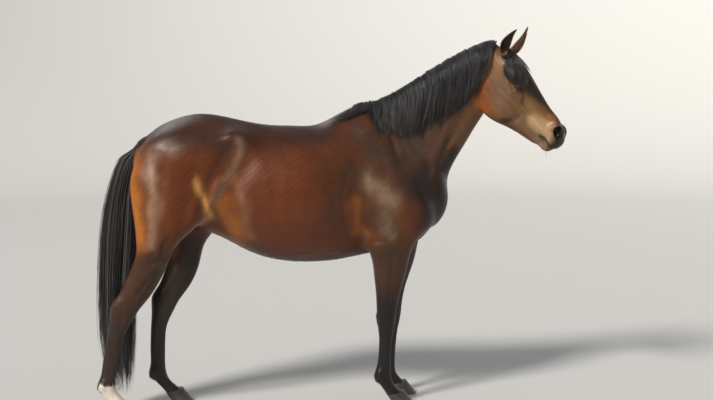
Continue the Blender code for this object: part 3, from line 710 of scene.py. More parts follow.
class Anatomy:
    """The animal's flesh: its forms, and the fine relief on them."""

    def __init__(self) -> None:
        """Build the smooth forms, then lay the relief on them."""
        self.flesh = Flesh()
        self.flesh.add(Loft((0, 0, 0), (1, 0, 0), (0, 0, 1), TRUNK_STATIONS, (0.03, 0.06)), 0.0)
        self.flesh.add(Loft(NECK_FOOT, NECK[0], NECK[1], NECK_STATIONS, (0.03, 0.045)), 0.09)
        self.flesh.add(Bone((-0.800, 0, 1.425), (-0.925, 0, 1.290), 0.034, 0.018), 0.03)
        for side in SIDES:
            self._leg(side)
        for side in SIDES:
            self._muscles(side)
        self._skull()
        relief: list[Ridge] = []                # laid on the flesh while it is still smooth
        for side in SIDES:
            relief += self._trunk_relief(side) + self._leg_relief(side) + self._head_relief(side)
        self.flesh.ridges = relief + self._middle_relief()
        for side in SIDES:
            self._eye_and_nostril(side)
            self._ear(side)

    def leads(self, side: int) -> tuple[Sequence[tuple[float, float]], ...]:
        """The lead tables of the fore and hind leg on a side."""
        return (NO_LEAD, NO_LEAD) if side < 0 else (FORE_LEAD, HIND_LEAD)

    def _leg(self, side: int) -> None:
        """Both legs of a side, each with its bony points.

        Args:
            side: the sign of y on that side.
        """
        fore_lead, hind_lead = self.leads(side)
        for stations, lead, blend in ((FORE_STATIONS, fore_lead, 0.05),
                                      (HIND_STATIONS, hind_lead, 0.06)):
            rows = []
            for height, rear, front, middle, half in stations:
                ahead = from_table(lead, height)
                rows.append((-height, front + ahead, rear + ahead, (front + rear) * 0.5 + ahead,
                             side * middle, half, 2.15))
            self.flesh.add(Loft((0, 0, 0), (0, 0, -1), (1, 0, 0), rows, (0.05, 0.02)), blend)
        hock = from_table(hind_lead, 0.62)
        for face in (-1, 1):
            hollow = side * 0.147 + face * 0.058
            self.flesh.carve(Bone((-0.905 + hock, hollow, 0.760), (-0.975 + hock, hollow, 0.640),
                                  0.018, 0.022), 0.03)
        knee = from_table(fore_lead, 0.475)
        self.flesh.add(Bone((0.394 + knee, side * 0.122, 0.485),
                            (0.400 + knee, side * 0.122, 0.455), 0.016, 0.014), 0.02)

    def _muscles(self, side: int) -> None:
        """Shoulder, breast, haunch and the points of hip and elbow.

        Args:
            side: the sign of y on that side.
        """
        add = self.flesh.add
        add(Bone((0.330, side * 0.072, 1.450), (0.590, side * 0.140, 1.060), 0.052, 0.060), 0.11)
        add(Blob((0.395, side * 0.150, 1.080), (0.190, 0.058, 0.120), (-0.25, 0, 1)), 0.06)
        add(Blob((0.600, side * 0.128, 1.020), (0.080, 0.066, 0.078)), 0.06)
        add(Blob((0.685, side * 0.066, 1.115), (0.130, 0.080, 0.090), (0.05, 0, 1)), 0.05)
        add(Blob((-0.375, side * 0.190, 1.425), (0.040, 0.024, 0.046)), 0.12)
        add(Blob((-0.620, side * 0.125, 1.360), (0.210, 0.120, 0.130), (1, 0, -0.15)), 0.09)
        self.flesh.carve(Blob((-0.385, side * 0.315, 1.290), (0.120, 0.060, 0.080),
                              (0.1, 0, 1)), 0.09)

    def _skull(self) -> None:
        """Skull, cheeks, orbits, muzzle, lips and chin."""
        add, up = self.flesh.add, HEAD[1]

        def blob(place: Triple, radii: Triple, blend: float) -> None:
            """Add an ellipsoid that lies along the head."""
            add(Blob(head_point(*place), radii, HEAD[0], up), blend)

        add(Loft(POLL, HEAD[0], up, SKULL_STATIONS, (0.04, 0.036)), 0.05)
        for side in SIDES:
            blob((0.222, -0.117, side * 0.043), (0.126, 0.117, 0.037), 0.030)
            add(Bone(head_point(0.310, -0.160, side * 0.024),
                     head_point(0.505, -0.094, side * 0.014), 0.035, 0.020), 0.055)
            blob((0.410, -0.068, side * 0.026), (0.105, 0.050, 0.024), 0.04)
            blob((0.192, 0.038, side * 0.074), (0.052, 0.030, 0.021), 0.035)
            blob((0.222, 0.006, side * 0.070), (0.042, 0.036, 0.026), 0.02)
            add(Bone(head_point(0.250, -0.030, side * 0.070),
                     head_point(0.370, -0.050, side * 0.044), 0.013, 0.009), 0.025)
            blob((0.552, 0.020, side * 0.036), (0.044, 0.040, 0.020), 0.03)
        blob((0.586, -0.022, 0.0), (0.038, 0.044, 0.044), 0.03)
        blob((0.568, -0.080, 0.0), (0.038, 0.026, 0.031), 0.03)

    def _side_path(self, side: int, path: Sequence[tuple[float, float]],
                   lead: float = 0.0) -> list[Array]:
        """Lay an (x, z) path on the skin of one side, seen from beside the animal."""
        return [self.flesh.on_skin((x + lead, side * 0.13, z), (0, -side, 0), 0.42)
                for x, z in path]

    def _head_path(self, side: int, path: Sequence[tuple[float, float]]) -> list[Array]:
        """Lay an (along, up) path on one side of the head."""
        return [self.flesh.on_skin(head_point(s, h, side * 0.05), HEAD[2] * -side, 0.12)
                for s, h in path]

    def _trunk_relief(self, side: int) -> list[Ridge]:
        """Hip, flank, ribs, thigh, shoulder and neck.

        Args:
            side: the sign of y on that side.

        Returns:
            Ridges and grooves, still to be laid on the flesh.
        """
        rows = (
            # path as (x, z), width, height
            (((-.456, 1.452), (-.413, 1.464), (-.378, 1.456), (-.356, 1.430), (-.350, 1.390),
              (-.368, 1.335), (-.410, 1.280)), .024, .0052),
            (((-.395, 1.425), (-.425, 1.360), (-.470, 1.290)), .032, -.0110),
            (((-.455, 1.330), (-.500, 1.240), (-.533, 1.160), (-.550, 1.100), (-.552, 1.030)),
             .026, -.0110),
            (((-.400, 1.300), (-.462, 1.214), (-.494, 1.163), (-.516, 1.100), (-.528, 1.015)),
             .022, .0070),
            (((-.400, 1.240), (-.425, 1.120), (-.415, 1.030), (-.370, .930)), .050, -.0110),
            (((-.240, 1.380), (-.300, 1.232), (-.332, 1.135), (-.332, 1.046), (-.300, .944),
              (-.230, .860)), .042, .0075),
            (((-.738, 1.385), (-.752, 1.240), (-.752, 1.100), (-.742, .980), (-.724, .880)),
             .024, -.0060),
            (((-.785, 1.420), (-.799, 1.270), (-.808, 1.130), (-.808, 1.000), (-.785, .860)),
             .032, .0050),
            (((-.555, 1.380), (-.600, 1.220), (-.630, 1.080), (-.648, .970)), .034, -.0050),
            (((-.585, 1.130), (-.600, 1.060), (-.632, .990)), .028, .0060),
            (((-.850, .824), (-.805, .812), (-.762, .834), (-.752, .890), (-.728, .940),
              (-.700, .975)), .012, -.0105),
            (((-.692, .935), (-.700, .885), (-.720, .838), (-.768, .796), (-.830, .782)), .014,
             .0085),
            (((-.880, .862), (-.835, .866), (-.805, .880)), .012, .0050),
            (((.255, 1.380), (.205, 1.285), (.186, 1.205), (.180, 1.138), (.188, 1.060),
              (.208, .984), (.245, .900)), .026, -.0085),
            (((.300, 1.370), (.254, 1.275), (.238, 1.200), (.232, 1.138), (.244, 1.060),
              (.275, .970)), .032, .0055),
            (((.424, 1.500), (.431, 1.392), (.443, 1.304), (.468, 1.225), (.498, 1.147),
              (.522, 1.050)), .026, .0070),
            (((.458, 1.480), (.484, 1.365), (.515, 1.276), (.543, 1.198), (.564, 1.120),
              (.570, 1.037)), .022, -.0095),
            (((.868, 1.660), (.791, 1.540), (.749, 1.456), (.705, 1.370), (.660, 1.281),
              (.618, 1.170)), .022, .0060),
            (((.890, 1.630), (.836, 1.505), (.790, 1.420), (.748, 1.340), (.705, 1.262),
              (.658, 1.160)), .017, -.0070),
            (((.240, .930), (.310, .905), (.381, .902), (.446, .932), (.506, 1.010)), .016, -.0065),
            (((.220, .872), (.100, .838), (0.0, .832), (-.110, .842), (-.220, .880)), .009, .0025),
            (((-.480, 1.520), (-.620, 1.466), (-.760, 1.390)), .034, -.0045),
            (((.120, 1.440), (.250, 1.490), (.360, 1.530)), .040, -.0040),
            (((-.02, 1.30), (-.045, 1.18), (-.03, 1.04), (.02, .93)), .020, .0016),
            (((-.11, 1.31), (-.138, 1.18), (-.125, 1.04), (-.07, .92)), .020, .0020),
            (((-.20, 1.31), (-.232, 1.18), (-.222, 1.04), (-.16, .90)), .020, .0022),
        )
        return [Ridge(self._side_path(side, path), width, height) for path, width, height in rows]

    def _leg_relief(self, side: int) -> list[Ridge]:
        """Muscle borders, tendons and veins of one fore and one hind leg.

        Args:
            side: the sign of y on that side.

        Returns:
            Ridges and grooves.
        """
        fore_lead, hind_lead = self.leads(side)
        fore = (
            (((.455, .880), (.452, .780), (.443, .680), (.436, .580), (.430, .520)), .010, -.005),
            (((.392, .860), (.398, .760), (.403, .660), (.408, .560)), .010, -.004),
            (((.480, .840), (.474, .740), (.462, .640), (.452, .560)), .006, .002),
            (((.452, .492), (.458, .462), (.452, .425)), .013, .004),
            (((.398, .500), (.394, .460), (.400, .420)), .010, .004),
            (((.420, .520), (.425, .460), (.420, .410)), .008, -.003),
            (((.413, .392), (.411, .320), (.408, .250), (.406, .205)), .0065, -.0055),
            (((.398, .205), (.392, .165), (.404, .135)), .010, .003),
            (((.420, .125), (.448, .098), (.470, .086)), .008, -.002),
        )
        hind = (
            (((-.800, .800), (-.850, .730), (-.900, .660)), .026, .004),
            (((-.800, .760), (-.862, .680), (-.920, .600)), .010, -.004),
            (((-.775, .800), (-.812, .730), (-.865, .655), (-.925, .575)), .006, .002),
            (((-1.000, .600), (-1.012, .560), (-1.014, .500)), .010, .004),
            (((-.965, .560), (-.975, .500), (-.990, .450)), .010, -.004),
            (((-.935, .540), (-.945, .490), (-.962, .450)), .010, .003),
            (((-1.012, .440), (-1.022, .350), (-1.036, .270), (-1.048, .205)), .0065, -.0055),
            (((-1.062, .205), (-1.068, .165), (-1.056, .135)), .010, .003),
            (((-1.040, .125), (-1.012, .098), (-.990, .086)), .008, -.002),
        )
        found = []
        for rows, lead in ((fore, fore_lead), (hind, hind_lead)):
            for path, width, height in rows:
                middle = sum(z for _, z in path) / len(path)
                places = self._side_path(side, path, from_table(lead, middle))
                found.append(Ridge(places, width, height))
                inner = [self.flesh.on_skin((p[0], side * 0.13, p[2]), (0, side, 0), 0.125)
                         for p in places]
                if middle < 0.7:
                    found.append(Ridge(inner, width, height * 0.8))
        return found

    def _head_relief(self, side: int) -> list[Ridge]:
        """Crest, cheek, nasal bones, lips, lid folds and veins.

        Args:
            side: the sign of y on that side.

        Returns:
            Ridges and grooves.
        """
        rows = (
            # path as (along, up), width, height
            (((.250, -.020), (.300, -.033), (.350, -.045), (.400, -.054)), .011, .0040),
            (((.262, -.046), (.310, -.057), (.362, -.068)), .013, -.0025),
            (((.345, -.048), (.366, -.082), (.366, -.118), (.350, -.160), (.325, -.195)),
             .015, -.0034),
            (((.120, -.200), (.185, -.222), (.250, -.218), (.310, -.190)), .020, .0030),
            (((.290, .052), (.380, .046), (.460, .040), (.515, .036)), .012, .0030),
            (((.315, .024), (.400, .018), (.470, .020), (.520, .034)), .015, -.0042),
            (((.385, -.058), (.440, -.032), (.500, -.022)), .0048, .0016),
            (((.105, .034), (.150, .050), (.182, .054)), .018, -.0038),
            (((.075, .030), (.130, .018), (.185, .022)), .012, .0022),
            (((.050, -.010), (.090, -.070), (.110, -.130), (.160, -.200)), .018, -.0050),
            (((.512, -.052), (.548, -.046), (.592, -.042)), .009, .0025),
            (((.514, -.078), (.550, -.073), (.590, -.070)), .008, .0022),
            (((.496, -.040), (.506, -.066), (.500, -.094)), .008, -.0022),
            (((.246, -.014), (.272, -.022), (.300, -.018)), .0045, -.0014),
            (((.240, -.026), (.268, -.036), (.298, -.036)), .0045, .0012),
        )
        mouth = ((.520, -.064), (.545, -.060), (.572, -.058), (.604, -.055))
        lips = Ridge(self._head_path(side, mouth), .0040, -.0060, fading=False)
        return [lips, *(Ridge(self._head_path(side, path), width, height)
                        for path, width, height in rows)]

    def _middle_relief(self) -> list[Ridge]:
        """The grooves of the middle line: back, breast, chin and the forehead's plane.

        Returns:
            Ridges and grooves.
        """
        skin = self.flesh.on_skin
        back = [skin((x, 0, 1.5), (0, 0, -1)) for x in (-.80, -.68, -.55, -.42, -.25, -.05)]
        breast = [skin((0.7, 0, z), (-1, 0, 0)) for z in (1.16, 1.08, 1.00, .94)]
        under = [skin((x, 0, 0.8), (0, 0, 1)) for x in (.50, .40, .30)]
        rump = [skin((-.85, 0, z), (1, 0, 0)) for z in (1.20, 1.12, 1.04)]
        lip = [skin(head_point(.60, h, 0), -HEAD[0], 0.1) for h in (.000, -.020, -.040)]
        gape = [skin(head_point(.60, -.055, r), -HEAD[0], 0.1) for r in (-.034, 0.0, .034)]
        return [Ridge(back, .024, -.005), Ridge(breast, .020, -.010), Ridge(under, .016, -.006),
                Ridge(rump, .020, -.020), Ridge(lip, .006, -.002),
                Ridge(gape, .0040, -.0060, fading=False)]

    def _eye_and_nostril(self, side: int) -> None:
        """Lids that wrap the eyeball, with an almond opening, and a deep curled nostril.

        Args:
            side: the sign of y on that side.
        """
        along, up, right = EYE_PLACE
        slit = HEAD[0] * 0.93 + HEAD[1] * 0.36
        out = HEAD[2] * side
        centre = head_point(along, up, side * right)
        self.flesh.add(Blob(centre - out * 0.002, (EYE_RADIUS + .0062, EYE_RADIUS + .0045,
                                                  EYE_RADIUS + .0040), slit, HEAD[1]), 0.012)
        self.flesh.carve(Blob(centre + out * 0.016 - HEAD[1] * 0.001, (0.0190, 0.0082, 0.0150),
                              slit, HEAD[1]), 0.0030)
        # fold of the lid, brow and lower lid: (along the slit, up, out) points, width, height
        for path, width, height in (
                (((-.025, .002, .010), (-.014, .016, .016), (.004, .0205, .017),
                  (.019, .0135, .012), (.027, .001, .006)), .0042, -.0030),
                (((-.030, .012, .006), (-.012, .026, .010), (.008, .030, .009),
                  (.026, .020, .003)), .0060, .0026),
                (((-.018, -.013, .014), (.000, -.018, .014), (.020, -.012, .009)), .0040, .0020)):
            fold = [centre + slit * s + HEAD[1] * h + out * o for s, h, o in path]
            self.flesh.ridges.append(Ridge(fold, width, height))
        rim = ((.532, .012, .060), (.526, .040, .054), (.546, .056, .048), (.574, .046, .046),
               (.596, .022, .046), (.600, .000, .048), (.580, -.008, .054), (.554, -.006, .060))
        edge = [head_point(s, h, side * r) for s, h, r in rim]
        self.flesh.ridges.append(Ridge([self.flesh.on_skin(p, -out, .05) for p in edge],
                                       .0060, .0022, fading=False))
        for (s, h, r), radii in (((.562, .020, .055), (.032, .018, .024)),
                                 ((.556, .034, .048), (.020, .015, .020)),
                                 ((.556, .018, .038), (.026, .016, .018))):
            self.flesh.carve(Blob(head_point(s, h, side * r), radii,
                                  HEAD[0] - HEAD[1] * 0.65, HEAD[1]), 0.004)

    def _ear(self, side: int) -> None:
        """One ear, a pointed cup that opens forward and outward.

        Args:
            side: the sign of the head's own right.
        """
        base, axis, opening, length = EARS[side]
        shell, cup = [], []
        # share of its length, half width, depth of the cup
        for share, half, depth in EAR_PROFILE:
            along = share * length
            curl = ear_curl(side, share)
            shell.append((along, depth * 0.5 + COAT_DEPTH, -depth - COAT_DEPTH, -depth * 0.1,
                          curl, half + COAT_DEPTH, 2.0))
            if 0.15 < share < 0.9:
                wall = EAR_WALL + COAT_DEPTH
                cup.append((along, depth * 1.5, wall - depth, depth * 0.3, curl,
                            half - wall * 0.75, 2.0))
        self.flesh.add(Loft(base, axis, opening, shell, (0.014, 0.004)), 0.010)
        self.flesh.carve(Loft(base, axis, opening, cup, (0.020, 0.010)), 0.002)


# ---------------------------------------------------------------- meshes
def object_of(name: str, data: Mesh, smooth: bool = True) -> Item:
    """Link a mesh into the scene as an object at the origin.

    Args:
        name: the object's name.
        data: its mesh.
        smooth: whether its faces are smooth.

    Returns:
        The object.
    """
    item = bpy.data.objects.new(name, data)
    bpy.context.scene.collection.objects.link(item)
    if smooth:
        data.shade_smooth()
    return item


def baked(item: Item) -> None:
    """Replace the object's mesh by what its modifiers make of it.

    Args:
        item: the object.
    """
    graph = bpy.context.evaluated_depsgraph_get()
    data = bpy.data.meshes.new_from_object(item.evaluated_get(graph))
    item.modifiers.clear()
    item.data = data


def thinned(item: Item, faces: int) -> None:
    """Reduce the mesh to about this many triangles.

    Args:
        item: the object.
        faces: how many triangles to leave.
    """
    modifier = item.modifiers.new("thin", "DECIMATE")
    item.data.calc_loop_triangles()
    modifier.ratio = min(1.0, faces / len(item.data.loop_triangles))
    baked(item)


def vertices_of(data: Mesh) -> Array:
    """The vertices' places as an array."""
    found = np.empty(len(data.vertices) * 3, np.float32)
    data.vertices.foreach_get("co", found)
    return found.reshape(-1, 3).astype(float)


def placed(item: Item) -> Item:
    """Shift a finished mesh from the animal's own axes to the frame's.

    Args:
        item: the object.

    Returns:
        The same object.
    """
    item.data.transform(Matrix.Translation(ORIGIN_SHIFT))
    item.data.update()
    return item


@dataclass
class Skin:
    """One skin over trunk, neck, head, legs and ears, finer on the head."""

    anatomy: Anatomy
    cut_point: Triple = (0.958, -0.076, 1.760)   # where the finer head is joined to the neck
    cut_way: Triple = (0.965, -0.20, 0.10)
    head_low: Triple = (0.890, -0.370, 1.330)
    head_high: Triple = (1.430, 0.080, 2.060)

    def _part(self, name: str, low: Place, high: Place, cell: float,
              triangles: int, keep_ahead: bool) -> bmesh.types.BMesh:
        """Sample one part, thin it, and trim it at the neck.

        Args:
            name: name of the mesh while it is made.
            low: lowest corner of the box to sample.
            high: highest corner.
            cell: spacing of the lattice.
            triangles: how many to leave.
            keep_ahead: keep what lies ahead of the cut, else what lies behind.

        Returns:
            The trimmed part, open at the cut.
        """
        values, axes = self.anatomy.flesh.sample(np.array(low), np.array(high), cell)
        item = object_of(name, surface(name, values, axes, -COAT_DEPTH))
        thinned(item, triangles)
        mesh = bmesh.new()
        mesh.from_mesh(item.data)
        bpy.data.objects.remove(item)
        way = Vector(self.cut_way).normalized()
        point = Vector(self.cut_point) + way * (JOIN_GAP if keep_ahead else 0.0)
        bmesh.ops.bisect_plane(mesh, geom=[*mesh.verts, *mesh.edges, *mesh.faces],
                               plane_co=point, plane_no=way, dist=1e-6,
                               clear_inner=keep_ahead, clear_outer=not keep_ahead)
        self._keep_largest(mesh)
        return mesh

    def _keep_largest(self, mesh: bmesh.types.BMesh) -> None:
        """Delete every loose piece but the largest.

        Args:
            mesh: the mesh, changed in place.
        """
        seen: set = set()
        pieces: list[list] = []
        for start in mesh.verts:
            if start in seen:
                continue
            seen.add(start)
            stack, piece = [start], []
            while stack:
                vert = stack.pop()
                piece.append(vert)
                for edge in vert.link_edges:
                    other = edge.other_vert(vert)
                    if other not in seen:
                        seen.add(other)
                        stack.append(other)
            pieces.append(piece)
        pieces.sort(key=len)
        for piece in pieces[:-1]:
            bmesh.ops.delete(mesh, geom=piece, context="VERTS")

    def build(self) -> Item:
        """Make the skin: body and head joined by a strip round the neck.

        Returns:
            The skin, still in the animal's own axes.
        """
        low, high = self.anatomy.flesh.bounds()
        body = self._part("body", low, (1.06, high[1], high[2]), BODY_CELL, BODY_TRIANGLES, False)
        head = self._part("head_skin", self.head_low, self.head_high, HEAD_CELL,
                          HEAD_TRIANGLES, True)
        data = bpy.data.meshes.new("skin")
        head.to_mesh(data)
        body.from_mesh(data)
        head.free()
        border = [edge for edge in body.edges if edge.is_boundary]
        bmesh.ops.bridge_loops(body, edges=border)
        bmesh.ops.triangulate(body, faces=[face for face in body.faces if len(face.verts) > 3])
        bmesh.ops.recalc_face_normals(body, faces=body.faces)
        body.to_mesh(data)
        log.info("skin: %d open edges", sum(edge.is_boundary for edge in body.edges))
        body.free()
        return object_of("skin", data)


# ---------------------------------------------------------------- markings, painted shade and highlights, and lie of the coat
BLACK: Triple = (.0110, .0090, .0080)
LEG_BLACK: Triple = (.0330, .0215, .0150)
BAY: Triple = (.1250, .0310, .0065)
CHESTNUT: Triple = (.1180, .0260, .0050)
AMBER: Triple = (.2900, .0930, .0130)
SOOT: Triple = (.0130, .0100, .0090)
WHITE: Triple = (.7200, .6600, .5700)
NOSE_SKIN: Triple = (.0150, .0125, .0125)


def eased(value: Array, low: float, high: float) -> Array:
    """Smooth step from 0 at low to 1 at high."""
    t = np.clip((value - low) / (high - low), 0.0, 1.0)
    return t * t * (3.0 - 2.0 * t)


def drifted(points: Array, size: float, seed: int) -> Array:
    """Smooth noise of about -1 to 1 over space, from a few sine waves.

    Args:
        points: where to read it.
        size: about how far apart its patches are.
        seed: which pattern.

    Returns:
        One number for each point.
    """
    draw = np.random.default_rng(seed)
    total = np.zeros(len(points))
    for _ in range(7):
        way = draw.normal(size=3)
        way *= (0.7 + 0.8 * draw.random()) / np.linalg.norm(way)
        total += np.sin(points @ way * (2.0 * math.pi / size) + draw.random() * 2.0 * math.pi)
    return total / 3.2


@dataclass(frozen=True)
class Patch:
    """A soft-edged patch of colour along a path in a flat map of the body or the head."""

    path: tuple[tuple[float, float], ...]
    width: float
    colour: Triple
    strength: float = 0.85

    def cover(self, spots: Array) -> Array:
        """How far it hides what is under it, at each spot of the map.

        Args:
            spots: places on the map.

        Returns:
            0 where it doesn't, to 1.
        """
        best = np.full(len(spots), np.inf)
        rows = np.array(self.path, dtype=float)
        if len(rows) == 1:
            best = ((spots - rows[0])**2).sum(axis=1)
        for start, end in zip(rows[:-1], rows[1:]):
            run = end - start
            t = np.clip((spots - start) @ run / (run @ run), 0.0, 1.0)
            best = np.minimum(best, ((spots - start - t[:, None] * run)**2).sum(axis=1))
        return self.strength * np.exp(-best / self.width**2)


# patches of the body, over (x, height) with the left legs brought beside the right ones; some are
# painted shade and painted highlights, marked where they stand
BODY_PATCHES = (
    Patch(((-.20, 1.02), (.06, 1.02)), .17, CHESTNUT, .55),
    # painted shade along the underside of the belly
    Patch(((-.30, .80), (0, .77), (.30, .80)), .055, (.020, .007, .003), .90),
    # painted shade on the barrel behind the arm, where the rib cage turns from the light
    Patch(((.10, 1.30), (.13, 1.05)), .10, (.060, .020, .007), .75),
    Patch(((-.72, 1.46), (-.45, 1.47), (-.20, 1.44), (.10, 1.46)), .075, (.042, .016, .009), .90),
    Patch(((-.84, 1.46), (-.56, 1.585), (-.2, 1.530), (.10, 1.525), (.28, 1.60), (.45, 1.64)),
          .060, (.020, .0100, .0068), .95),
    Patch(((-.62, 1.44), (-.36, 1.44)), .045, (.048, .021, .012), .60),
    Patch(((.30, 1.44), (.46, 1.32), (.60, 1.20)), .12, (.040, .022, .014), .90),
    Patch(((.30, 1.25), (.42, 1.14)), .080, (.072, .038, .021), .90),
    # painted shade along the groove behind the shoulder and arm
    Patch(((.22, 1.30), (.20, 1.16)), .040, (.040, .016, .007), .80),
    Patch(((.38, 1.02), (.46, .92), (.42, .80)), .075, (.050, .026, .013), .90),
    # painted shade on the chest, which faces away from the lamps
    Patch(((.62, 1.20), (.66, 1.00)), .090, (.0085, .0055, .0045), .95),
    Patch(((.76, 1.26), (.77, 1.14), (.74, 1.02)), .060, (.0110, .0065, .0048), .92),
    Patch(((.55, 1.52), (.80, 1.78)), .15, (.042, .024, .016), .92),
    # painted shade in the crease between neck and shoulder
    Patch(((.500, 1.475), (.575, 1.41), (.620, 1.33), (.640, 1.24)), .019, (.020, .011, .007), .85),
    # painted highlight on the front edge of the shoulder
    Patch(((.46, 1.43), (.475, 1.36)), .022, (.095, .050, .030), .65),
    # painted shade along the groove low on the neck
    Patch(((.850, 1.58), (.800, 1.49), (.755, 1.39), (.700, 1.28)), .017, (.015, .009, .0065), .85),
    # painted shade along the underside of the neck and the front of the chest
    Patch(((.965, 1.61), (.930, 1.56), (.885, 1.475), (.840, 1.39), (.795, 1.31), (.745, 1.22),
           (.715, 1.10)), .040, (.0075, .0055, .0045), .95),
    Patch(((.895, 1.640), (.855, 1.560), (.825, 1.480), (.795, 1.410)), .015,
          (.190, .072, .018), .80),
    # painted shade in the hollow below the point of hip
    Patch(((-.40, 1.36), (-.41, 1.30)), .045, (.062, .024, .010), .75),
    # painted shade in the hooked fold above the gaskin
    Patch(((-.790, .812), (-.758, .840), (-.750, .895), (-.728, .94)), .014, (.018, .010, .006), .80),
    # painted highlight on the lit rim of that fold
    Patch(((-.698, .910), (-.712, .850), (-.765, .798)), .012, (.190, .075, .026), .60),
    Patch(((-.470, 1.120), (-.430, 1.06), (-.390, 1.000), (-.365, .93)), .042, AMBER, .95),
    # amber hair at the flank fold, brightened into a painted highlight
    Patch(((-.575, 1.23), (-.558, 1.160), (-.537, 1.11), (-.520, 1.04)), .024,
          (.500, .240, .060), .92),
    Patch(((-.66, 1.28), (-.66, 1.10), (-.70, .95)), .060, (.105, .023, .0042), .85),
    Patch(((-.905, 1.34), (-.900, 1.20), (-.885, 1.02), (-.870, .88)), .040,
          (.400, .130, .018), .94),
    Patch(((-.80, .80), (-.84, .72)), .075, (.070, .033, .018), .85),
    Patch(((.245, 1.12), (.258, 1.00), (.300, .910)), .026, (.230, .066, .009), .92),
)
# painted highlights where the light catches the edges of muscles, faint on the left side
PAINTED_HIGHLIGHT_PATCHES = (
    Patch(((-.798, 1.36), (-.792, 1.19), (-.795, 1.04), (-.812, .90)), .027, (.390, .250, .160), .60),
    Patch(((-.840, 1.36), (-.760, 1.41), (-.700, 1.40)), .040, (.160, .100, .074), .48),
    Patch(((-.362, 1.44), (-.354, 1.36), (-.390, 1.30), (-.440, 1.22), (-.490, 1.13)), .022,
          (.300, .175, .110), .54),
    Patch(((-.385, 1.240), (-.352, 1.16), (-.338, 1.10), (-.320, 1.01), (-.300, .93)), .032,
          (.260, .135, .070), .50),
    Patch(((.325, 1.230), (.385, 1.170), (.43, 1.09)), .046, (.330, .225, .140), .58),
    Patch(((.395, 1.02), (.44, .93)), .032, (.220, .145, .085), .55),
    Patch(((.56, 1.43), (.68, 1.46), (.75, 1.55)), .060, (.080, .052, .038), .70),
    Patch(((.60, 1.36), (.66, 1.34), (.70, 1.42)), .045, (.085, .057, .042), .60),
)
# patches of the head, over (along, up); some are painted shade and painted highlights, marked where
# they stand
HEAD_PATCHES = (
    Patch(((.08, -.02), (.18, -.05)), .080, (.155, .083, .044), .85),
    Patch(((.20, -.06), (.24, -.12)), .050, (.165, .092, .050), .88),
    Patch(((.10, -.15), (.15, -.20), (.22, -.215)), .050, (.240, .064, .008), .92),
    Patch(((.33, -.13), (.40, -.115)), .036, (.125, .054, .024), .75),
    Patch(((.32, -.02), (.47, -.01)), .036, (.195, .100, .036), .88),
    # painted shade along the front plane of the face, which looks away from the lamps
    Patch(((.05, .10), (.20, .105), (.34, .085), (.47, .075)), .036, (.014, .009, .007), .95),
    # painted shade in the hollow in front of the eye, under the brow
    Patch(((.235, .048), (.300, .048), (.350, .060)), .026, (.024, .014, .009), .90),
    # painted shade along the front plane of the face
    Patch(((.10, .075), (.20, .066), (.30, .066), (.36, .074)), .034, (.013, .009, .007), .95),
    # painted shade of the forelock and brow above the eye
    Patch(((.12, .060), (.23, .055), (.28, .035)), .024, (.022, .014, .009), .88),
    Patch(((.42, .040), (.47, .036)), .020, (.120, .045, .014), .75),
    Patch(((.43, -.045), (.49, -.030), (.540, -.026), (.572, -.044)), .034, (.440, .300, .165), .92),
    Patch(((.47, -.01), (.500, .015)), .024, (.400, .240, .110), .85),
    Patch(((.47, .045), (.50, .052)), .016, (.260, .110, .030), .85),
    Patch(((.40, -.10), (.50, -.105)), .026, (.145, .080, .043), .75),
    Patch(((.52, -.100), (.545, -.095)), .020, (.230, .130, .085), .75),
    Patch(((.205, .012), (.255, .008)), .017, SOOT, .94),
    # painted highlight along the lit lower lid
    Patch(((.215, -.010), (.248, -.013)), .0055, (.260, .150, .050), .75),
    # painted shade in the crease that runs forward and down from the eye
    Patch(((.265, .004), (.300, -.012), (.318, -.034)), .012, (.045, .026, .015), .80),
    Patch(((.010, -.012), (.055, -.015), (.105, -.022)), .026, (.270, .125, .052), .78),
    Patch(((.52, -.060), (.60, -.055)), .011, SOOT, .90),
    Patch(((.560, -.118), (.60, -.112)), .012, SOOT, .85),
    # painted shade in the notch on the jaw's lower edge
    Patch(((.335, -.168), (.352, -.140)), .016, (.022, .012, .009), .85),
    Patch(((.590, .045), (.602, -.035)), .030, NOSE_SKIN, .97),
    Patch(((.545, .040), (.562, .020), (.585, .005)), .023, (.006, .005, .005), .98),
    Patch(((.505, .078), (.560, .070)), .022, NOSE_SKIN, .95),
    Patch(((.545, -.098), (.580, -.088)), .015, (.300, .190, .130), .90),
)


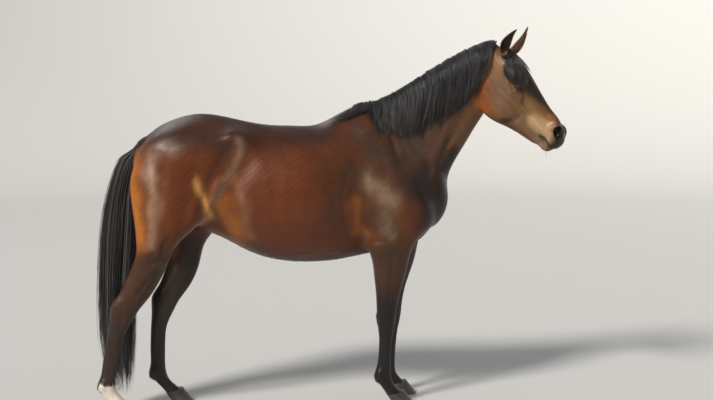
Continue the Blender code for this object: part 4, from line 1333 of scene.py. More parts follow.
class Coat:
    """Where the coat has which colour, painted shade and highlights included, which way it lies, and
    where the skin is bare.
    """

    SOCK_TOP = 0.168                           # the white sock on the right hind leg
    BLACK_KNEE = (0.50, 0.76)                  # the fore leg is black below, brown above
    BLACK_HOCK = (0.42, 0.72)
    CREST_COVER = 0.115                        # depth of the dark band under the mane
    LEFT_LEG_SHADE_RISE = 0.10                          # painted shade: the left legs, away from the lamps, are black this much higher up
    FAR_SHEEN = 0.75                           # how much of the painted highlights the left side, away from the lamps, lacks

    def head_share(self, points: Array) -> Array:
        """1 on the head, 0 on the neck, soft between.

        Args:
            points: places in the animal's own axes.

        Returns:
            One number for each point.
        """
        spots = in_head(points)
        far = np.linalg.norm(spots - (0.27, -0.03, 0.0), axis=1)
        ahead = eased(spots[:, 0] + 0.02 - (0.05 - spots[:, 1]) * 0.48, -0.03, 0.03)
        return ahead * (1.0 - eased(far, 0.40, 0.46))

    def leg_share(self, points: Array) -> Array:
        """1 on the legs, 0 on the trunk, soft between."""
        apart = np.maximum(eased(points[:, 0], 0.20, 0.30), eased(-points[:, 0], 0.46, 0.58))
        return (1.0 - eased(points[:, 2], 0.84, 1.00)) * apart

    def unposed(self, points: Array) -> Array:
        """The points with the left legs brought beside the right ones.

        Args:
            points: places in the animal's own axes.

        Returns:
            The points, in one pose for both sides.
        """
        found = points.copy()
        fore, hind = (from_table(lead, points[:, 2]) for lead in (FORE_LEAD, HIND_LEAD))
        lead = np.where(points[:, 0] > -0.15, fore, hind)
        found[:, 0] -= lead * eased(points[:, 1], 0.0, 0.09)
        return found

    def colour(self, points: Array) -> Array:
        """The coat's colour at each point, in linear light, with painted shade and painted highlights
        laid in.

        Args:
            points: places in the animal's own axes.

        Returns:
            Red, green and blue at each.
        """
        spots = self.unposed(points)
        drift = drifted(points, 0.16, 11)[:, None] * 0.012
        flat = spots[:, [0, 2]] + drift
        colour = np.tile(np.array(BAY), (len(points), 1))

        def lay(cover: Array, paint: Triple) -> None:
            """Blend a colour over what is there."""
            colour[:] += cover[:, None] * (np.array(paint) - colour)

        for patch in BODY_PATCHES:
            lay(patch.cover(flat), patch.colour)
        # painted highlights along muscle edges, mottled, faint on the left side
        lit = (0.80 + 0.15 * drifted(points, 0.060, 15)) \
            * (1.0 - self.FAR_SHEEN * eased(points[:, 1], -.03, .03))
        for patch in PAINTED_HIGHLIGHT_PATCHES:
            lay(patch.cover(flat) * np.clip(lit, 0.0, 1.0), patch.colour)
        height = flat[:, 1] + 0.012 * drifted(points, 0.05, 12)
        fore = flat[:, 0] > -0.15
        # painted shade raises the black on the left legs
        height = height - self.LEFT_LEG_SHADE_RISE * eased(points[:, 1], 0.0, 0.05)
        legs = self.leg_share(points)
        lay(0.80 * (1.0 - eased(height, 0.80, 1.00)) * legs, (.046, .022, .011))
        # painted shade darkening the left hind leg almost to black, up to the stifle
        far = eased(points[:, 1], -0.02, 0.06) * (1.0 - fore)
        lay(0.7 * (1.0 - eased(height, 0.86, 1.02)) * legs * far, (.012, .008, .006))
        lay((1.0 - eased(height, *self.BLACK_KNEE)) * fore, BLACK)
        lay((1.0 - eased(height, *self.BLACK_HOCK)) * (1.0 - fore), LEG_BLACK)
        crest = in_neck(points)
        top = from_table(NECK_STATIONS, crest[:, 0])
        under_mane = 1.0 - eased(top - crest[:, 1], self.CREST_COVER * 0.4, self.CREST_COVER)
        lay(under_mane * eased(crest[:, 0], 0.02, 0.12), BLACK)
        self._head(points, colour)
        sock = self.SOCK_TOP + 0.010 * drifted(points, 0.045, 14) \
            + 0.10 * (-1.09 - points[:, 0])
        white = (1.0 - eased(points[:, 2], sock - 0.006, sock + 0.006)) \
            * (points[:, 0] < -0.6) * (points[:, 1] < 0.0)
        lay(white, WHITE)
        return colour

    def _head(self, points: Array, colour: Array) -> None:
        """Lay the head's colours over the body's, where the head is.

        Args:
            points: places in the animal's own axes.
            colour: one row for each, changed in place.
        """
        spots = in_head(points)
        share = self.head_share(points)
        flat = spots[:, :2] + drifted(points, 0.07, 13)[:, None] * 0.005
        face = np.tile(np.array((.130, .060, .026)), (len(points), 1))
        for patch in HEAD_PATCHES:
            cover = patch.cover(flat)[:, None]
            face += cover * (np.array(patch.colour) - face)
        # painted shade along the middle of the face's front plane
        middle = np.exp(-(spots[:, 2] / 0.030)**2) * eased(spots[:, 1], 0.02, 0.06)
        face += 0.6 * middle[:, None] * (np.array((.045, .024, .014)) - face)
        colour += share[:, None] * (face - colour)
        for side in SIDES:
            self._ear(points, colour, side)

    def _ear(self, points: Array, colour: Array, side: int) -> None:
        """Brown outside, black at the tip; the cup holds painted shade on the near ear, painted light
        on the far one.

        Args:
            points: places in the animal's own axes.
            colour: one row for each, changed in place.
            side: the sign of the head's own right.
        """
        share, depth, across = in_ear(points, side).T
        half, deep = from_table(EAR_PROFILE, share, 1), from_table(EAR_PROFILE, share, 2)
        near = eased(share, -0.10, 0.08) * (1.0 - eased(share, 1.10, 1.25)) \
            * (1.0 - eased(np.hypot(across / half, depth / (1.6 * deep)), 1.25, 1.7))
        cup = np.hypot((depth - 0.3 * deep) / (1.3 * deep - EAR_WALL), across / (half - EAR_WALL))
        inside = (1.0 - eased(cup, 1.06, 1.17)) * eased(share, 0.10, 0.20)
        paint = np.tile(np.array((.140, .066, .029)), (len(points), 1))
        # painted shade in the near ear's cup, painted light in the far one's
        hollow = (.016, .010, .0075) if side > 0 else (.240, .120, .056)
        paint += inside[:, None] * (np.array(hollow) - paint)
        tip = 0.8 * eased(share, 0.80, 0.98)
        paint += tip[:, None] * (np.array(SOOT) - paint)
        colour += near[:, None] * (paint - colour)

    def bare(self, points: Array) -> Array:
        """Where the skin shows hardly any hair: nose, lips and lids.

        Args:
            points: places in the animal's own axes.

        Returns:
            0 where it is well covered, to 1.
        """
        spots = in_head(points)
        nose = eased(spots[:, 0] + 0.15 * spots[:, 1], 0.555, 0.585) * eased(spots[:, 1], -.085, -.060)
        lips = np.exp(-((spots[:, 1] + 0.060) / 0.010)**2) * eased(spots[:, 0], 0.50, 0.53)
        nostril = np.exp(-(((spots[:, 0] - .562) / .018)**2 + ((spots[:, 1] - .014) / .018)**2))
        along, up, right = EYE_PLACE
        lids = np.exp(-(((spots[:, 0] - along) / .023)**2 + ((spots[:, 1] - up) / .016)**2)**2) \
            * (np.abs(spots[:, 2]) > right * 0.75)
        return np.maximum.reduce([nose, lips, nostril, lids]) * self.head_share(points)

    def lie(self, points: Array) -> Array:
        """The way the hair points, before it is laid on the skin.

        Args:
            points: places in the animal's own axes.

        Returns:
            A unit vector at each.
        """
        ways = np.tile(np.array((-.80, 0.0, -.60)), (len(points), 1))
        neck = eased(in_neck(points)[:, 0], -0.05, 0.15)
        ways += neck[:, None] * (np.array((-.35, 0.0, -.94)) - ways)
        legs = self.leg_share(points)
        ways += legs[:, None] * (np.array((-.10, 0.0, -1.0)) - ways)
        head = self.head_share(points)
        spots = in_head(points)
        cheek = eased(-spots[:, 1], 0.02, 0.12)[:, None]
        face = HEAD[0] * (1.0 - 0.9 * cheek) - HEAD[1] * 0.8 * cheek - HEAD[0] * 0.35 * cheek
        ways += head[:, None] * (face - ways)
        for base, axis, _, _ in EARS.values():
            local = points - base
            near = eased(local @ axis, 0.0, 0.03) * (np.linalg.norm(
                local - (local @ axis)[:, None] * axis, axis=1) < 0.055)
            ways += near[:, None] * (axis - ways)
        return ways / np.maximum(np.linalg.norm(ways, axis=1, keepdims=True), 1e-6)

    def dress(self, item: Item) -> None:
        """Give a mesh its colour, bareness and share of each lie.

        Args:
            item: the object, still in the animal's own axes.
        """
        points = vertices_of(item.data)
        paint = np.column_stack([self.colour(points), np.ones(len(points))])
        store(item.data, "coat", "FLOAT_COLOR", paint)
        store(item.data, "bare", "FLOAT", self.bare(points))
        legs, head = self.leg_share(points), self.head_share(points)
        shares = np.column_stack([1.0 - np.maximum(legs, head), legs, head])
        store(item.data, "shares", "FLOAT_VECTOR", shares)


ATTRIBUTE_FIELDS = {"FLOAT_COLOR": "color", "FLOAT": "value", "FLOAT_VECTOR": "vector"}


def store(data: Mesh, name: str, kind: str, values: Array) -> None:
    """Write a value for each vertex into a named attribute."""
    layer = data.attributes.new(name, kind, "POINT")
    layer.data.foreach_set(ATTRIBUTE_FIELDS[kind], values.astype(np.float32).ravel())


def loaded(data: Mesh, name: str, kind: str, width: int) -> Array:
    """Read a named attribute of each vertex.

    Args:
        data: the mesh.
        name: the attribute's name.
        kind: the property that holds it.
        width: numbers for each vertex.

    Returns:
        One row for each vertex.
    """
    found = np.empty(len(data.vertices) * width, np.float32)
    data.attributes[name].data.foreach_get(ATTRIBUTE_FIELDS[kind], found)
    return found.reshape(-1, width).astype(float)


# ---------------------------------------------------------------- shader and tree helpers
def node(tree: Tree, kind: str, inputs: dict | None = None,
         **settings: object) -> Node:
    """Add a node; an input given as a socket is linked, any other value is set.

    Args:
        tree: where it goes.
        kind: the node's type name.
        inputs: values or sockets by the input's name or number.
        settings: properties of the node.

    Returns:
        The node.
    """
    made = tree.nodes.new(kind)
    for name, value in settings.items():
        setattr(made, name, value)
    for name, value in (inputs or {}).items():
        if isinstance(value, Socket):
            tree.links.new(value, made.inputs[name])
        else:
            made.inputs[name].default_value = value
    return made


def maths(tree: Tree, operation: str, *values: object, clamp: bool = False) -> Socket:
    """One Math node's result.

    Args:
        tree: the node tree.
        operation: what the node does.

    Returns:
        The node's output.
    """
    made = node(tree, "ShaderNodeMath", dict(enumerate(values)), operation=operation,
                use_clamp=clamp)
    return made.outputs[0]


def new_group(name: str, kind: str, inputs: Sequence[tuple], outputs: Sequence[tuple]
              ) -> tuple[Tree, Node, Node]:
    """A node group with named sockets.

    Args:
        name: the group's name.
        kind: the tree's type name.
        inputs: (name, socket type, default) rows; a default of None is left alone.
        outputs: (name, socket type) rows.

    Returns:
        The tree, its input node and its output node.
    """
    tree = bpy.data.node_groups.new(name, kind)
    for label, socket, default in inputs:
        made = tree.interface.new_socket(label, in_out="INPUT", socket_type=socket)
        if default is not None:
            made.default_value = default
    for label, socket in outputs:
        tree.interface.new_socket(label, in_out="OUTPUT", socket_type=socket)
    return tree, tree.nodes.new("NodeGroupInput"), tree.nodes.new("NodeGroupOutput")


def use(tree: Tree, group: Tree, **inputs: object) -> Node:
    """Place a shader group with its own values."""
    return node(tree, "ShaderNodeGroup", inputs, node_tree=group)


def grain_group() -> Tree:
    """Fine streaks that run along one direction, as short lying hair does.

    Returns:
        The node group.
    """
    tree, put_in, put_out = new_group(
        "hair_grain", "ShaderNodeTree",
        (("Turn", "NodeSocketVector", None), ("Along", "NodeSocketFloat", 60.0),
         ("Across", "NodeSocketFloat", 420.0), ("Warp", "NodeSocketFloat", 0.012)),
        (("Streaks", "NodeSocketFloat"), ("Clumps", "NodeSocketFloat")))
    place = node(tree, "ShaderNodeTexCoord").outputs["Object"]
    drift = node(tree, "ShaderNodeTexNoise", {"Vector": place, "Scale": 9.0, "Detail": 1.0})
    lean = node(tree, "ShaderNodeVectorMath", {0: drift.outputs["Color"], 1: (.5, .5, .5)},
                operation="SUBTRACT")
    push = node(tree, "ShaderNodeVectorMath", {0: lean.outputs[0], "Scale": put_in.outputs["Warp"]},
                operation="SCALE")
    moved = node(tree, "ShaderNodeVectorMath", {0: place, 1: push.outputs[0]}, operation="ADD")
    turned = node(tree, "ShaderNodeVectorRotate",
                  {"Vector": moved.outputs[0], "Rotation": put_in.outputs["Turn"]},
                  rotation_type="EULER_XYZ", invert=True)
    scales = node(tree, "ShaderNodeCombineXYZ", {0: put_in.outputs["Along"],
                                                 1: put_in.outputs["Across"],
                                                 2: put_in.outputs["Across"]})
    fine = node(tree, "ShaderNodeVectorMath", {0: turned.outputs[0], 1: scales.outputs[0]},
                operation="MULTIPLY")
    streaks = node(tree, "ShaderNodeTexNoise", {"Vector": fine.outputs[0], "Scale": 1.0,
                                                "Detail": 2.0, "Roughness": 0.55})
    coarse = node(tree, "ShaderNodeVectorMath", {0: fine.outputs[0], "Scale": 0.17},
                  operation="SCALE")
    clumps = node(tree, "ShaderNodeTexNoise", {"Vector": coarse.outputs[0], "Scale": 1.0,
                                               "Detail": 1.0})
    tree.links.new(streaks.outputs["Fac"], put_out.inputs["Streaks"])
    tree.links.new(clumps.outputs["Fac"], put_out.inputs["Clumps"])
    return tree


def mottle_group() -> Tree:
    """Soft uneven patches over a surface, from 0 to 1.

    Returns:
        The node group.
    """
    tree, put_in, put_out = new_group(
        "soft_mottle", "ShaderNodeTree",
        (("Scale", "NodeSocketFloat", 12.0), ("Contrast", "NodeSocketFloat", 1.6)),
        (("Mottle", "NodeSocketFloat"),))
    place = node(tree, "ShaderNodeTexCoord").outputs["Object"]
    noise = node(tree, "ShaderNodeTexNoise", {"Vector": place, "Scale": put_in.outputs["Scale"],
                                              "Detail": 3.0, "Roughness": 0.55})
    centred = maths(tree, "SUBTRACT", noise.outputs["Fac"], 0.5)
    strong = maths(tree, "MULTIPLY_ADD", centred, put_in.outputs["Contrast"], 0.5, clamp=True)
    tree.links.new(strong, put_out.inputs["Mottle"])
    return tree


def pore_group() -> Tree:
    """The fine cobbled relief of bare skin.

    Returns:
        The node group.
    """
    tree, put_in, put_out = new_group(
        "skin_pores", "ShaderNodeTree", (("Scale", "NodeSocketFloat", 520.0),),
        (("Height", "NodeSocketFloat"),))
    place = node(tree, "ShaderNodeTexCoord").outputs["Object"]
    cells = node(tree, "ShaderNodeTexVoronoi", {"Vector": place, "Scale": put_in.outputs["Scale"]})
    folds = node(tree, "ShaderNodeTexNoise", {"Vector": place, "Scale": 160.0, "Detail": 2.0})
    mixed = maths(tree, "MULTIPLY_ADD", folds.outputs["Fac"], 0.8, cells.outputs["Distance"])
    tree.links.new(mixed, put_out.inputs["Height"])
    return tree


def material_tree(name: str) -> tuple[Material, Tree, Node]:
    """A material with a Principled shader and its output joined.

    Args:
        name: the material's name.

    Returns:
        The material, its node tree and its shader.
    """
    made = bpy.data.materials.new(name)
    made.use_nodes = True
    tree = made.node_tree
    tree.nodes.clear()
    shader = tree.nodes.new("ShaderNodeBsdfPrincipled")
    out = tree.nodes.new("ShaderNodeOutputMaterial")
    tree.links.new(shader.outputs["BSDF"], out.inputs["Surface"])
    return made, tree, shader


def attribute(tree: Tree, name: str) -> Node:
    """Reads a named attribute of the mesh."""
    return node(tree, "ShaderNodeAttribute", attribute_name=name, attribute_type="GEOMETRY")


def shaded(tree: Tree, colour: Socket, amount: Socket) -> Socket:
    """A colour made lighter or darker by an amount around 1."""
    made = node(tree, "ShaderNodeVectorMath", {0: colour, "Scale": amount}, operation="SCALE")
    return made.outputs[0]


def lie_turn(way: Place) -> tuple[float, float, float]:
    """Angles that turn the x axis onto a way."""
    return tuple(Vector((1, 0, 0)).rotation_difference(Vector(way)).to_euler("XYZ"))


@dataclass(frozen=True)
class ShortCoat:
    """Short flat hair: the body's colours, streaks along its lie, and bare skin at the nose."""

    gloss: float = 0.38                        # roughness of well-lying hair
    gloss_spread: float = 0.14
    streak: float = 0.42                       # how much single streaks change the colour
    depth: float = 0.0016                      # height of the streaks

    def make(self, groups: "Groups") -> Material:
        """Build the material.

        Args:
            groups: holds the shared node groups.

        Returns:
            The material.
        """
        made, tree, shader = material_tree("short_coat")
        shares = node(tree, "ShaderNodeSeparateXYZ",
                      {0: attribute(tree, "shares").outputs["Vector"]})
        ways = ((-.74, 0.0, -.67), (-.10, 0.0, -1.0), tuple(HEAD[0]))
        streaks, clumps = None, None
        for share, way in zip(shares.outputs, ways):
            grain = use(tree, groups.grain, Turn=lie_turn(way))
            first = streaks is None
            streaks = maths(tree, "MULTIPLY_ADD", grain.outputs["Streaks"], share,
                            0.0 if first else streaks)
            clumps = maths(tree, "MULTIPLY_ADD", grain.outputs["Clumps"], share,
                           0.0 if first else clumps)
        mottle = use(tree, groups.mottle, Scale=11.0, Contrast=1.3).outputs["Mottle"]
        hair = maths(tree, "SUBTRACT", 1.0, attribute(tree, "bare").outputs["Fac"], clamp=True)
        light = maths(tree, "MULTIPLY_ADD", streaks, self.streak * 1.6, 1.0 - self.streak * 0.8)
        light = maths(tree, "MULTIPLY_ADD", clumps, 0.50, maths(tree, "SUBTRACT", light, 0.25))
        light = maths(tree, "MULTIPLY_ADD", mottle, 0.24, maths(tree, "SUBTRACT", light, 0.12))
        colour = shaded(tree, attribute(tree, "coat").outputs["Color"], light)
        tree.links.new(colour, shader.inputs["Base Color"])
        rough = maths(tree, "MULTIPLY_ADD", clumps, self.gloss_spread,
                      self.gloss - self.gloss_spread * 0.5)
        rough = maths(tree, "MULTIPLY_ADD", mottle, 0.10, maths(tree, "SUBTRACT", rough, 0.05))
        tree.links.new(rough, shader.inputs["Roughness"])
        both = maths(tree, "MULTIPLY_ADD", clumps, 1.1, streaks)
        pores = maths(tree, "MULTIPLY", use(tree, groups.pores, Scale=480.0).outputs["Height"],
                      0.35)
        height = node(tree, "ShaderNodeMix", {"Factor": hair, 2: pores, 3: both},
                      data_type="FLOAT").outputs[0]
        bump = node(tree, "ShaderNodeBump", {"Strength": 0.45, "Distance": self.depth,
                                             "Height": height})
        tree.links.new(bump.outputs["Normal"], shader.inputs["Normal"])
        shader.inputs["Specular IOR Level"].default_value = 0.33
        shader.inputs["Sheen Weight"].default_value = 0.015
        shader.inputs["Sheen Roughness"].default_value = 0.35
        return made


@dataclass(frozen=True)
class TuftCoat:
    """The raised tufts of the coat, in the colour of the skin at their roots."""

    gloss: float = 0.42

    def make(self, groups: "Groups") -> Material:
        """Build the material.

        Args:
            groups: holds the shared node groups.

        Returns:
            The material.
        """
        made, tree, shader = material_tree("coat_tufts")
        mottle = use(tree, groups.mottle, Scale=11.0, Contrast=1.3).outputs["Mottle"]
        light = maths(tree, "MULTIPLY_ADD", attribute(tree, "shade").outputs["Fac"], 0.40, 0.72)
        light = maths(tree, "MULTIPLY_ADD", mottle, 0.24, light)
        colour = shaded(tree, attribute(tree, "coat").outputs["Color"], light)
        tree.links.new(colour, shader.inputs["Base Color"])
        tree.links.new(maths(tree, "MULTIPLY_ADD", mottle, 0.10, self.gloss - 0.05),
                       shader.inputs["Roughness"])
        return made


@dataclass(frozen=True)
class LongHair:
    """Long black hair: streaked, faintly blue where it shines, browner at the ends."""

    name: str = "long_hair"
    root_colour: Triple = (.0125, .0120, .0130)
    tip_colour: Triple = (.0300, .0220, .0170)
    gloss: float = 0.40

    def make(self, groups: "Groups") -> Material:
        """Build the material.

        Args:
            groups: holds the shared node groups.

        Returns:
            The material.
        """
        made, tree, shader = material_tree(self.name)
        share = attribute(tree, "share").outputs["Fac"]
        shade = attribute(tree, "shade").outputs["Fac"]
        mottle = use(tree, groups.mottle, Scale=26.0, Contrast=1.8).outputs["Mottle"]
        faded = maths(tree, "MULTIPLY", maths(tree, "POWER", share, 2.2), mottle)
        colour = node(tree, "ShaderNodeMix", {"Factor": faded, 6: (*self.root_colour, 1.0),
                                              7: (*self.tip_colour, 1.0)},
                      data_type="RGBA").outputs[2]
        fine = use(tree, groups.grain, Turn=lie_turn((.12, 0.0, -1.0)), Along=11.0,
                   Across=900.0, Warp=0.003).outputs["Streaks"]
        light = maths(tree, "MULTIPLY", maths(tree, "MULTIPLY_ADD", shade, 1.7, 0.35),
                      maths(tree, "MULTIPLY_ADD", fine, 1.3, 0.35))
        tree.links.new(shaded(tree, colour, light), shader.inputs["Base Color"])
        rough = maths(tree, "MULTIPLY_ADD", maths(tree, "MULTIPLY", shade, fine), 0.45,
                      self.gloss - 0.08)
        tree.links.new(maths(tree, "MULTIPLY_ADD", mottle, 0.08, rough),
                       shader.inputs["Roughness"])
        shader.inputs["Specular IOR Level"].default_value = 0.60
        shader.inputs["Sheen Weight"].default_value = 0.05
        shader.inputs["Sheen Tint"].default_value = (.72, .82, 1.0, 1.0)
        return made


@dataclass(frozen=True)
class Horn:
    """Hoof wall: rings round it, fine tubes down it, and dirt near the ground."""

    name: str
    upper: Triple
    lower: Triple

    def make(self, groups: "Groups") -> Material:
        """Build the material.

        Args:
            groups: holds the shared node groups.

        Returns:
            The material.
        """
        made, tree, shader = material_tree(self.name)
        place = node(tree, "ShaderNodeTexCoord").outputs["Object"]
        height = node(tree, "ShaderNodeSeparateXYZ", {0: place}).outputs["Z"]
        mottle = use(tree, groups.mottle, Scale=34.0, Contrast=1.7).outputs["Mottle"]
        level = maths(tree, "MULTIPLY_ADD", mottle, 0.016, height)
        rings = maths(tree, "SINE", maths(tree, "MULTIPLY", level, 2.0 * math.pi / 0.0085))
        streaks = use(tree, groups.grain, Turn=lie_turn((.45, 0.0, -.89)), Along=26.0,
                      Across=460.0, Warp=0.004).outputs["Streaks"]
        share = maths(tree, "DIVIDE", level, 0.075, clamp=True)
        colour = node(tree, "ShaderNodeMix", {"Factor": share, 6: (*self.lower, 1.0),
                                              7: (*self.upper, 1.0)},
                      data_type="RGBA").outputs[2]
        light = maths(tree, "MULTIPLY_ADD", streaks, 0.70, 0.62)
        light = maths(tree, "MULTIPLY_ADD", rings, 0.07, light)
        tree.links.new(shaded(tree, colour, light), shader.inputs["Base Color"])
        tree.links.new(maths(tree, "MULTIPLY_ADD", mottle, 0.22, 0.36),
                       shader.inputs["Roughness"])
        relief = maths(tree, "MULTIPLY_ADD", rings, 0.35, streaks)
        bump = node(tree, "ShaderNodeBump", {"Strength": 0.6, "Distance": 0.0009,
                                             "Height": relief})
        tree.links.new(bump.outputs["Normal"], shader.inputs["Normal"])
        return made


@dataclass(frozen=True)
class WetEye:
    """Eyeball with a dark brown iris, a wide level pupil and a clear wet surface."""

    pupil: Triple = (.0020, .0020, .0030)
    iris: Triple = (.0450, .0170, .0060)
    edge: Triple = (.0120, .0070, .0050)
    white: Triple = (.1400, .0900, .0700)
    pupil_size: tuple[float, float] = (.0088, .0046)   # half width and half height
    iris_size: tuple[float, float] = (.0155, .0125)

    def make(self, groups: "Groups") -> Material:
        """Build the material; the eye's own map has the pupil at its middle.

        Args:
            groups: holds the shared node groups.

        Returns:
            The material.
        """
        made, tree, shader = material_tree("wet_eye")
        spot = node(tree, "ShaderNodeSeparateXYZ",
                    {0: attribute(tree, "gaze").outputs["Vector"]})

        def oval(size: tuple[float, float]) -> Socket:
            """How far out each spot lies; 1 on the edge of an oval of this half size.

            Args:
                size: the oval's half width and half height.

            Returns:
                The value at each spot.
            """
            wide, high = (maths(tree, "POWER", maths(tree, "DIVIDE", spot.outputs[axis], half), 2.0)
                          for axis, half in zip("XY", size))
            return maths(tree, "SQRT", maths(tree, "ADD", wide, high))

        def ramp(value: Socket, start: float, end: float) -> Socket:
            """0 at the start value, 1 at the end value."""
            return node(tree, "ShaderNodeMapRange",
                        {"Value": value, "From Min": start, "From Max": end}).outputs[0]

        ring = oval(self.iris_size)
        in_pupil = ramp(oval(self.pupil_size), 1.12, 0.92)
        in_iris, rim = ramp(ring, 1.10, 0.94), ramp(ring, 0.70, 1.00)
        fibres = use(tree, groups.mottle, Scale=420.0, Contrast=2.0).outputs["Mottle"]
        light = maths(tree, "MULTIPLY_ADD", fibres, 0.9, 0.55)

        def mixed(factor: Socket, under: object, over: object) -> Socket:
            """Lay one colour over another."""
            return node(tree, "ShaderNodeMix", {"Factor": factor, 6: under, 7: over},
                        data_type="RGBA").outputs[2]

        colour = mixed(rim, (*self.iris, 1.0), (*self.edge, 1.0))
        colour = shaded(tree, colour, light)
        colour = mixed(in_pupil, colour, (*self.pupil, 1.0))
        colour = mixed(in_iris, (*self.white, 1.0), colour)
        tree.links.new(colour, shader.inputs["Base Color"])
        shader.inputs["Roughness"].default_value = 0.10
        shader.inputs["Coat Weight"].default_value = 1.0
        shader.inputs["Coat Roughness"].default_value = 0.02
        return made


@dataclass(frozen=True)
class Plain:
    """A matt painted floor, very slightly uneven."""

    name: str
    colour: Triple

    def make(self, groups: "Groups") -> Material:
        """Build the material.

        Args:
            groups: holds the shared node groups.

        Returns:
            The material.
        """
        made, tree, shader = material_tree(self.name)
        mottle = use(tree, groups.mottle, Scale=0.7, Contrast=1.0).outputs["Mottle"]
        tree.links.new(maths(tree, "MULTIPLY_ADD", mottle, 0.10, 0.80),
                       shader.inputs["Roughness"])
        shader.inputs["Base Color"].default_value = (*self.colour, 1.0)
        return made


@dataclass
class Groups:
    """The shader effects that several finishes share, and the finishes made so far."""

    grain: Tree = field(default_factory=grain_group)
    mottle: Tree = field(default_factory=mottle_group)
    pores: Tree = field(default_factory=pore_group)
    made: dict = field(default_factory=dict)

    def finish(self, recipe: object) -> Material:
        """The material of a recipe, built once.

        Args:
            recipe: what it is made from.

        Returns:
            The material.
        """
        if recipe not in self.made:
            self.made[recipe] = recipe.make(self)
        return self.made[recipe]


# ---------------------------------------------------------------- hair: strands and tufts
BAKE_MAP = "OFBake"
BAKE_PATCH = 0.003                             # a strand's or tuft's size on its bake map
BAKE_MARGIN = 0.015


def named(tree: Tree, name: str, kind: str) -> Socket:
    """A named attribute of the guides or roots."""
    return node(tree, "GeometryNodeInputNamedAttribute", {"Name": name}, data_type=kind).outputs[0]


def ended(tree: Tree, last: Node, put_in: Node, put_out: Node) -> Tree:
    """End a geometry tree: instances made real, and the finish set.

    Args:
        tree: the tree.
        last: the node whose geometry it makes.
        put_in: its input node, with a socket called Material.
        put_out: its output node.

    Returns:
        The tree.
    """
    real = node(tree, "GeometryNodeRealizeInstances", {"Geometry": last.outputs[0]})
    done = node(tree, "GeometryNodeSetMaterial",
                {"Geometry": real.outputs[0], "Material": put_in.outputs["Material"]})
    tree.links.new(done.outputs[0], put_out.inputs[0])
    return tree


def strand_tree() -> Tree:
    """Geometry nodes that turn guide lines into flattened, tapered solid strands.

    Returns:
        The node tree.
    """
    tree, put_in, put_out = new_group(
        "solid_strands", "GeometryNodeTree",
        (("Geometry", "NodeSocketGeometry", None), ("Sides", "NodeSocketInt", 5),
         ("Flatness", "NodeSocketFloat", 0.4), ("Material", "NodeSocketMaterial", None)),
        (("Geometry", "NodeSocketGeometry"),))
    curve = node(tree, "GeometryNodeMeshToCurve", {"Mesh": put_in.outputs["Geometry"]})
    faced = node(tree, "GeometryNodeSetCurveNormal",
                 {"Curve": curve.outputs[0], "Normal": named(tree, "facing", "FLOAT_VECTOR")},
                 mode="FREE")
    ring = node(tree, "GeometryNodeCurvePrimitiveCircle",
                {"Resolution": put_in.outputs["Sides"], "Radius": 1.0}, mode="RADIUS")
    scale = node(tree, "ShaderNodeCombineXYZ", {0: put_in.outputs["Flatness"], 1: 1.0, 2: 1.0})
    flat = node(tree, "GeometryNodeTransform",
                {"Geometry": ring.outputs["Curve"], "Scale": scale.outputs[0]})
    solid = node(tree, "GeometryNodeCurveToMesh",
                 {"Curve": faced.outputs[0], "Profile Curve": flat.outputs[0],
                  "Scale": named(tree, "thickness", "FLOAT"), "Fill Caps": True})
    return ended(tree, solid, put_in, put_out)


def tuft_tree() -> Tree:
    """Geometry nodes that set one small tuft on every root point.

    Returns:
        The node tree.
    """
    tree, put_in, put_out = new_group(
        "set_tufts", "GeometryNodeTree",
        (("Geometry", "NodeSocketGeometry", None), ("Tuft", "NodeSocketObject", None),
         ("Length", "NodeSocketFloat", 1.0), ("Material", "NodeSocketMaterial", None)),
        (("Geometry", "NodeSocketGeometry"),))
    roots = node(tree, "GeometryNodeMeshToPoints", {"Mesh": put_in.outputs["Geometry"]})
    tuft = node(tree, "GeometryNodeObjectInfo", {"Object": put_in.outputs["Tuft"]})
    turn = node(tree, "FunctionNodeEulerToRotation", {0: named(tree, "turn", "FLOAT_VECTOR")})
    scale = node(tree, "ShaderNodeVectorMath",
                 {0: named(tree, "size", "FLOAT_VECTOR"), "Scale": put_in.outputs["Length"]},
                 operation="SCALE")
    grown = node(tree, "GeometryNodeInstanceOnPoints",
                 {"Points": roots.outputs[0], "Instance": tuft.outputs["Geometry"],
                  "Rotation": turn.outputs[0], "Scale": scale.outputs[0]})
    return ended(tree, grown, put_in, put_out)


def run_tree(item: Item, tree: Tree, **inputs: object) -> None:
    """Run a geometry tree on an object and keep what it makes as plain mesh.

    Args:
        item: the object.
        tree: the geometry nodes.
    """
    modifier = item.modifiers.new(tree.name, "NODES")
    modifier.node_group = tree
    for socket in tree.interface.items_tree:
        if getattr(socket, "in_out", "") == "INPUT" and socket.name in inputs:
            modifier[socket.identifier] = inputs[socket.name]
    baked(item)


def write_bake_map(data: Mesh, roots: Array, patch: Array) -> None:
    """Write the bake map: a small patch for each strand or tuft at its root's place.

    Args:
        data: the mesh.
        roots: each vertex's root on an unwrap of the skin, in any units.
        patch: each vertex's place in its own patch, from 0 to 1.
    """
    low, high = roots.min(axis=0), roots.max(axis=0)
    spread = (roots - low) / np.maximum(high - low, 1e-6)
    spots = BAKE_MARGIN + (1.0 - 2.0 * BAKE_MARGIN) * spread + BAKE_PATCH * (patch - 0.5)
    corners = np.empty(len(data.loops), np.int32)
    data.loops.foreach_get("vertex_index", corners)
    layer = data.uv_layers.new(name=BAKE_MAP)
    layer.data.foreach_set("uv", spots[corners].astype(np.float32).ravel())


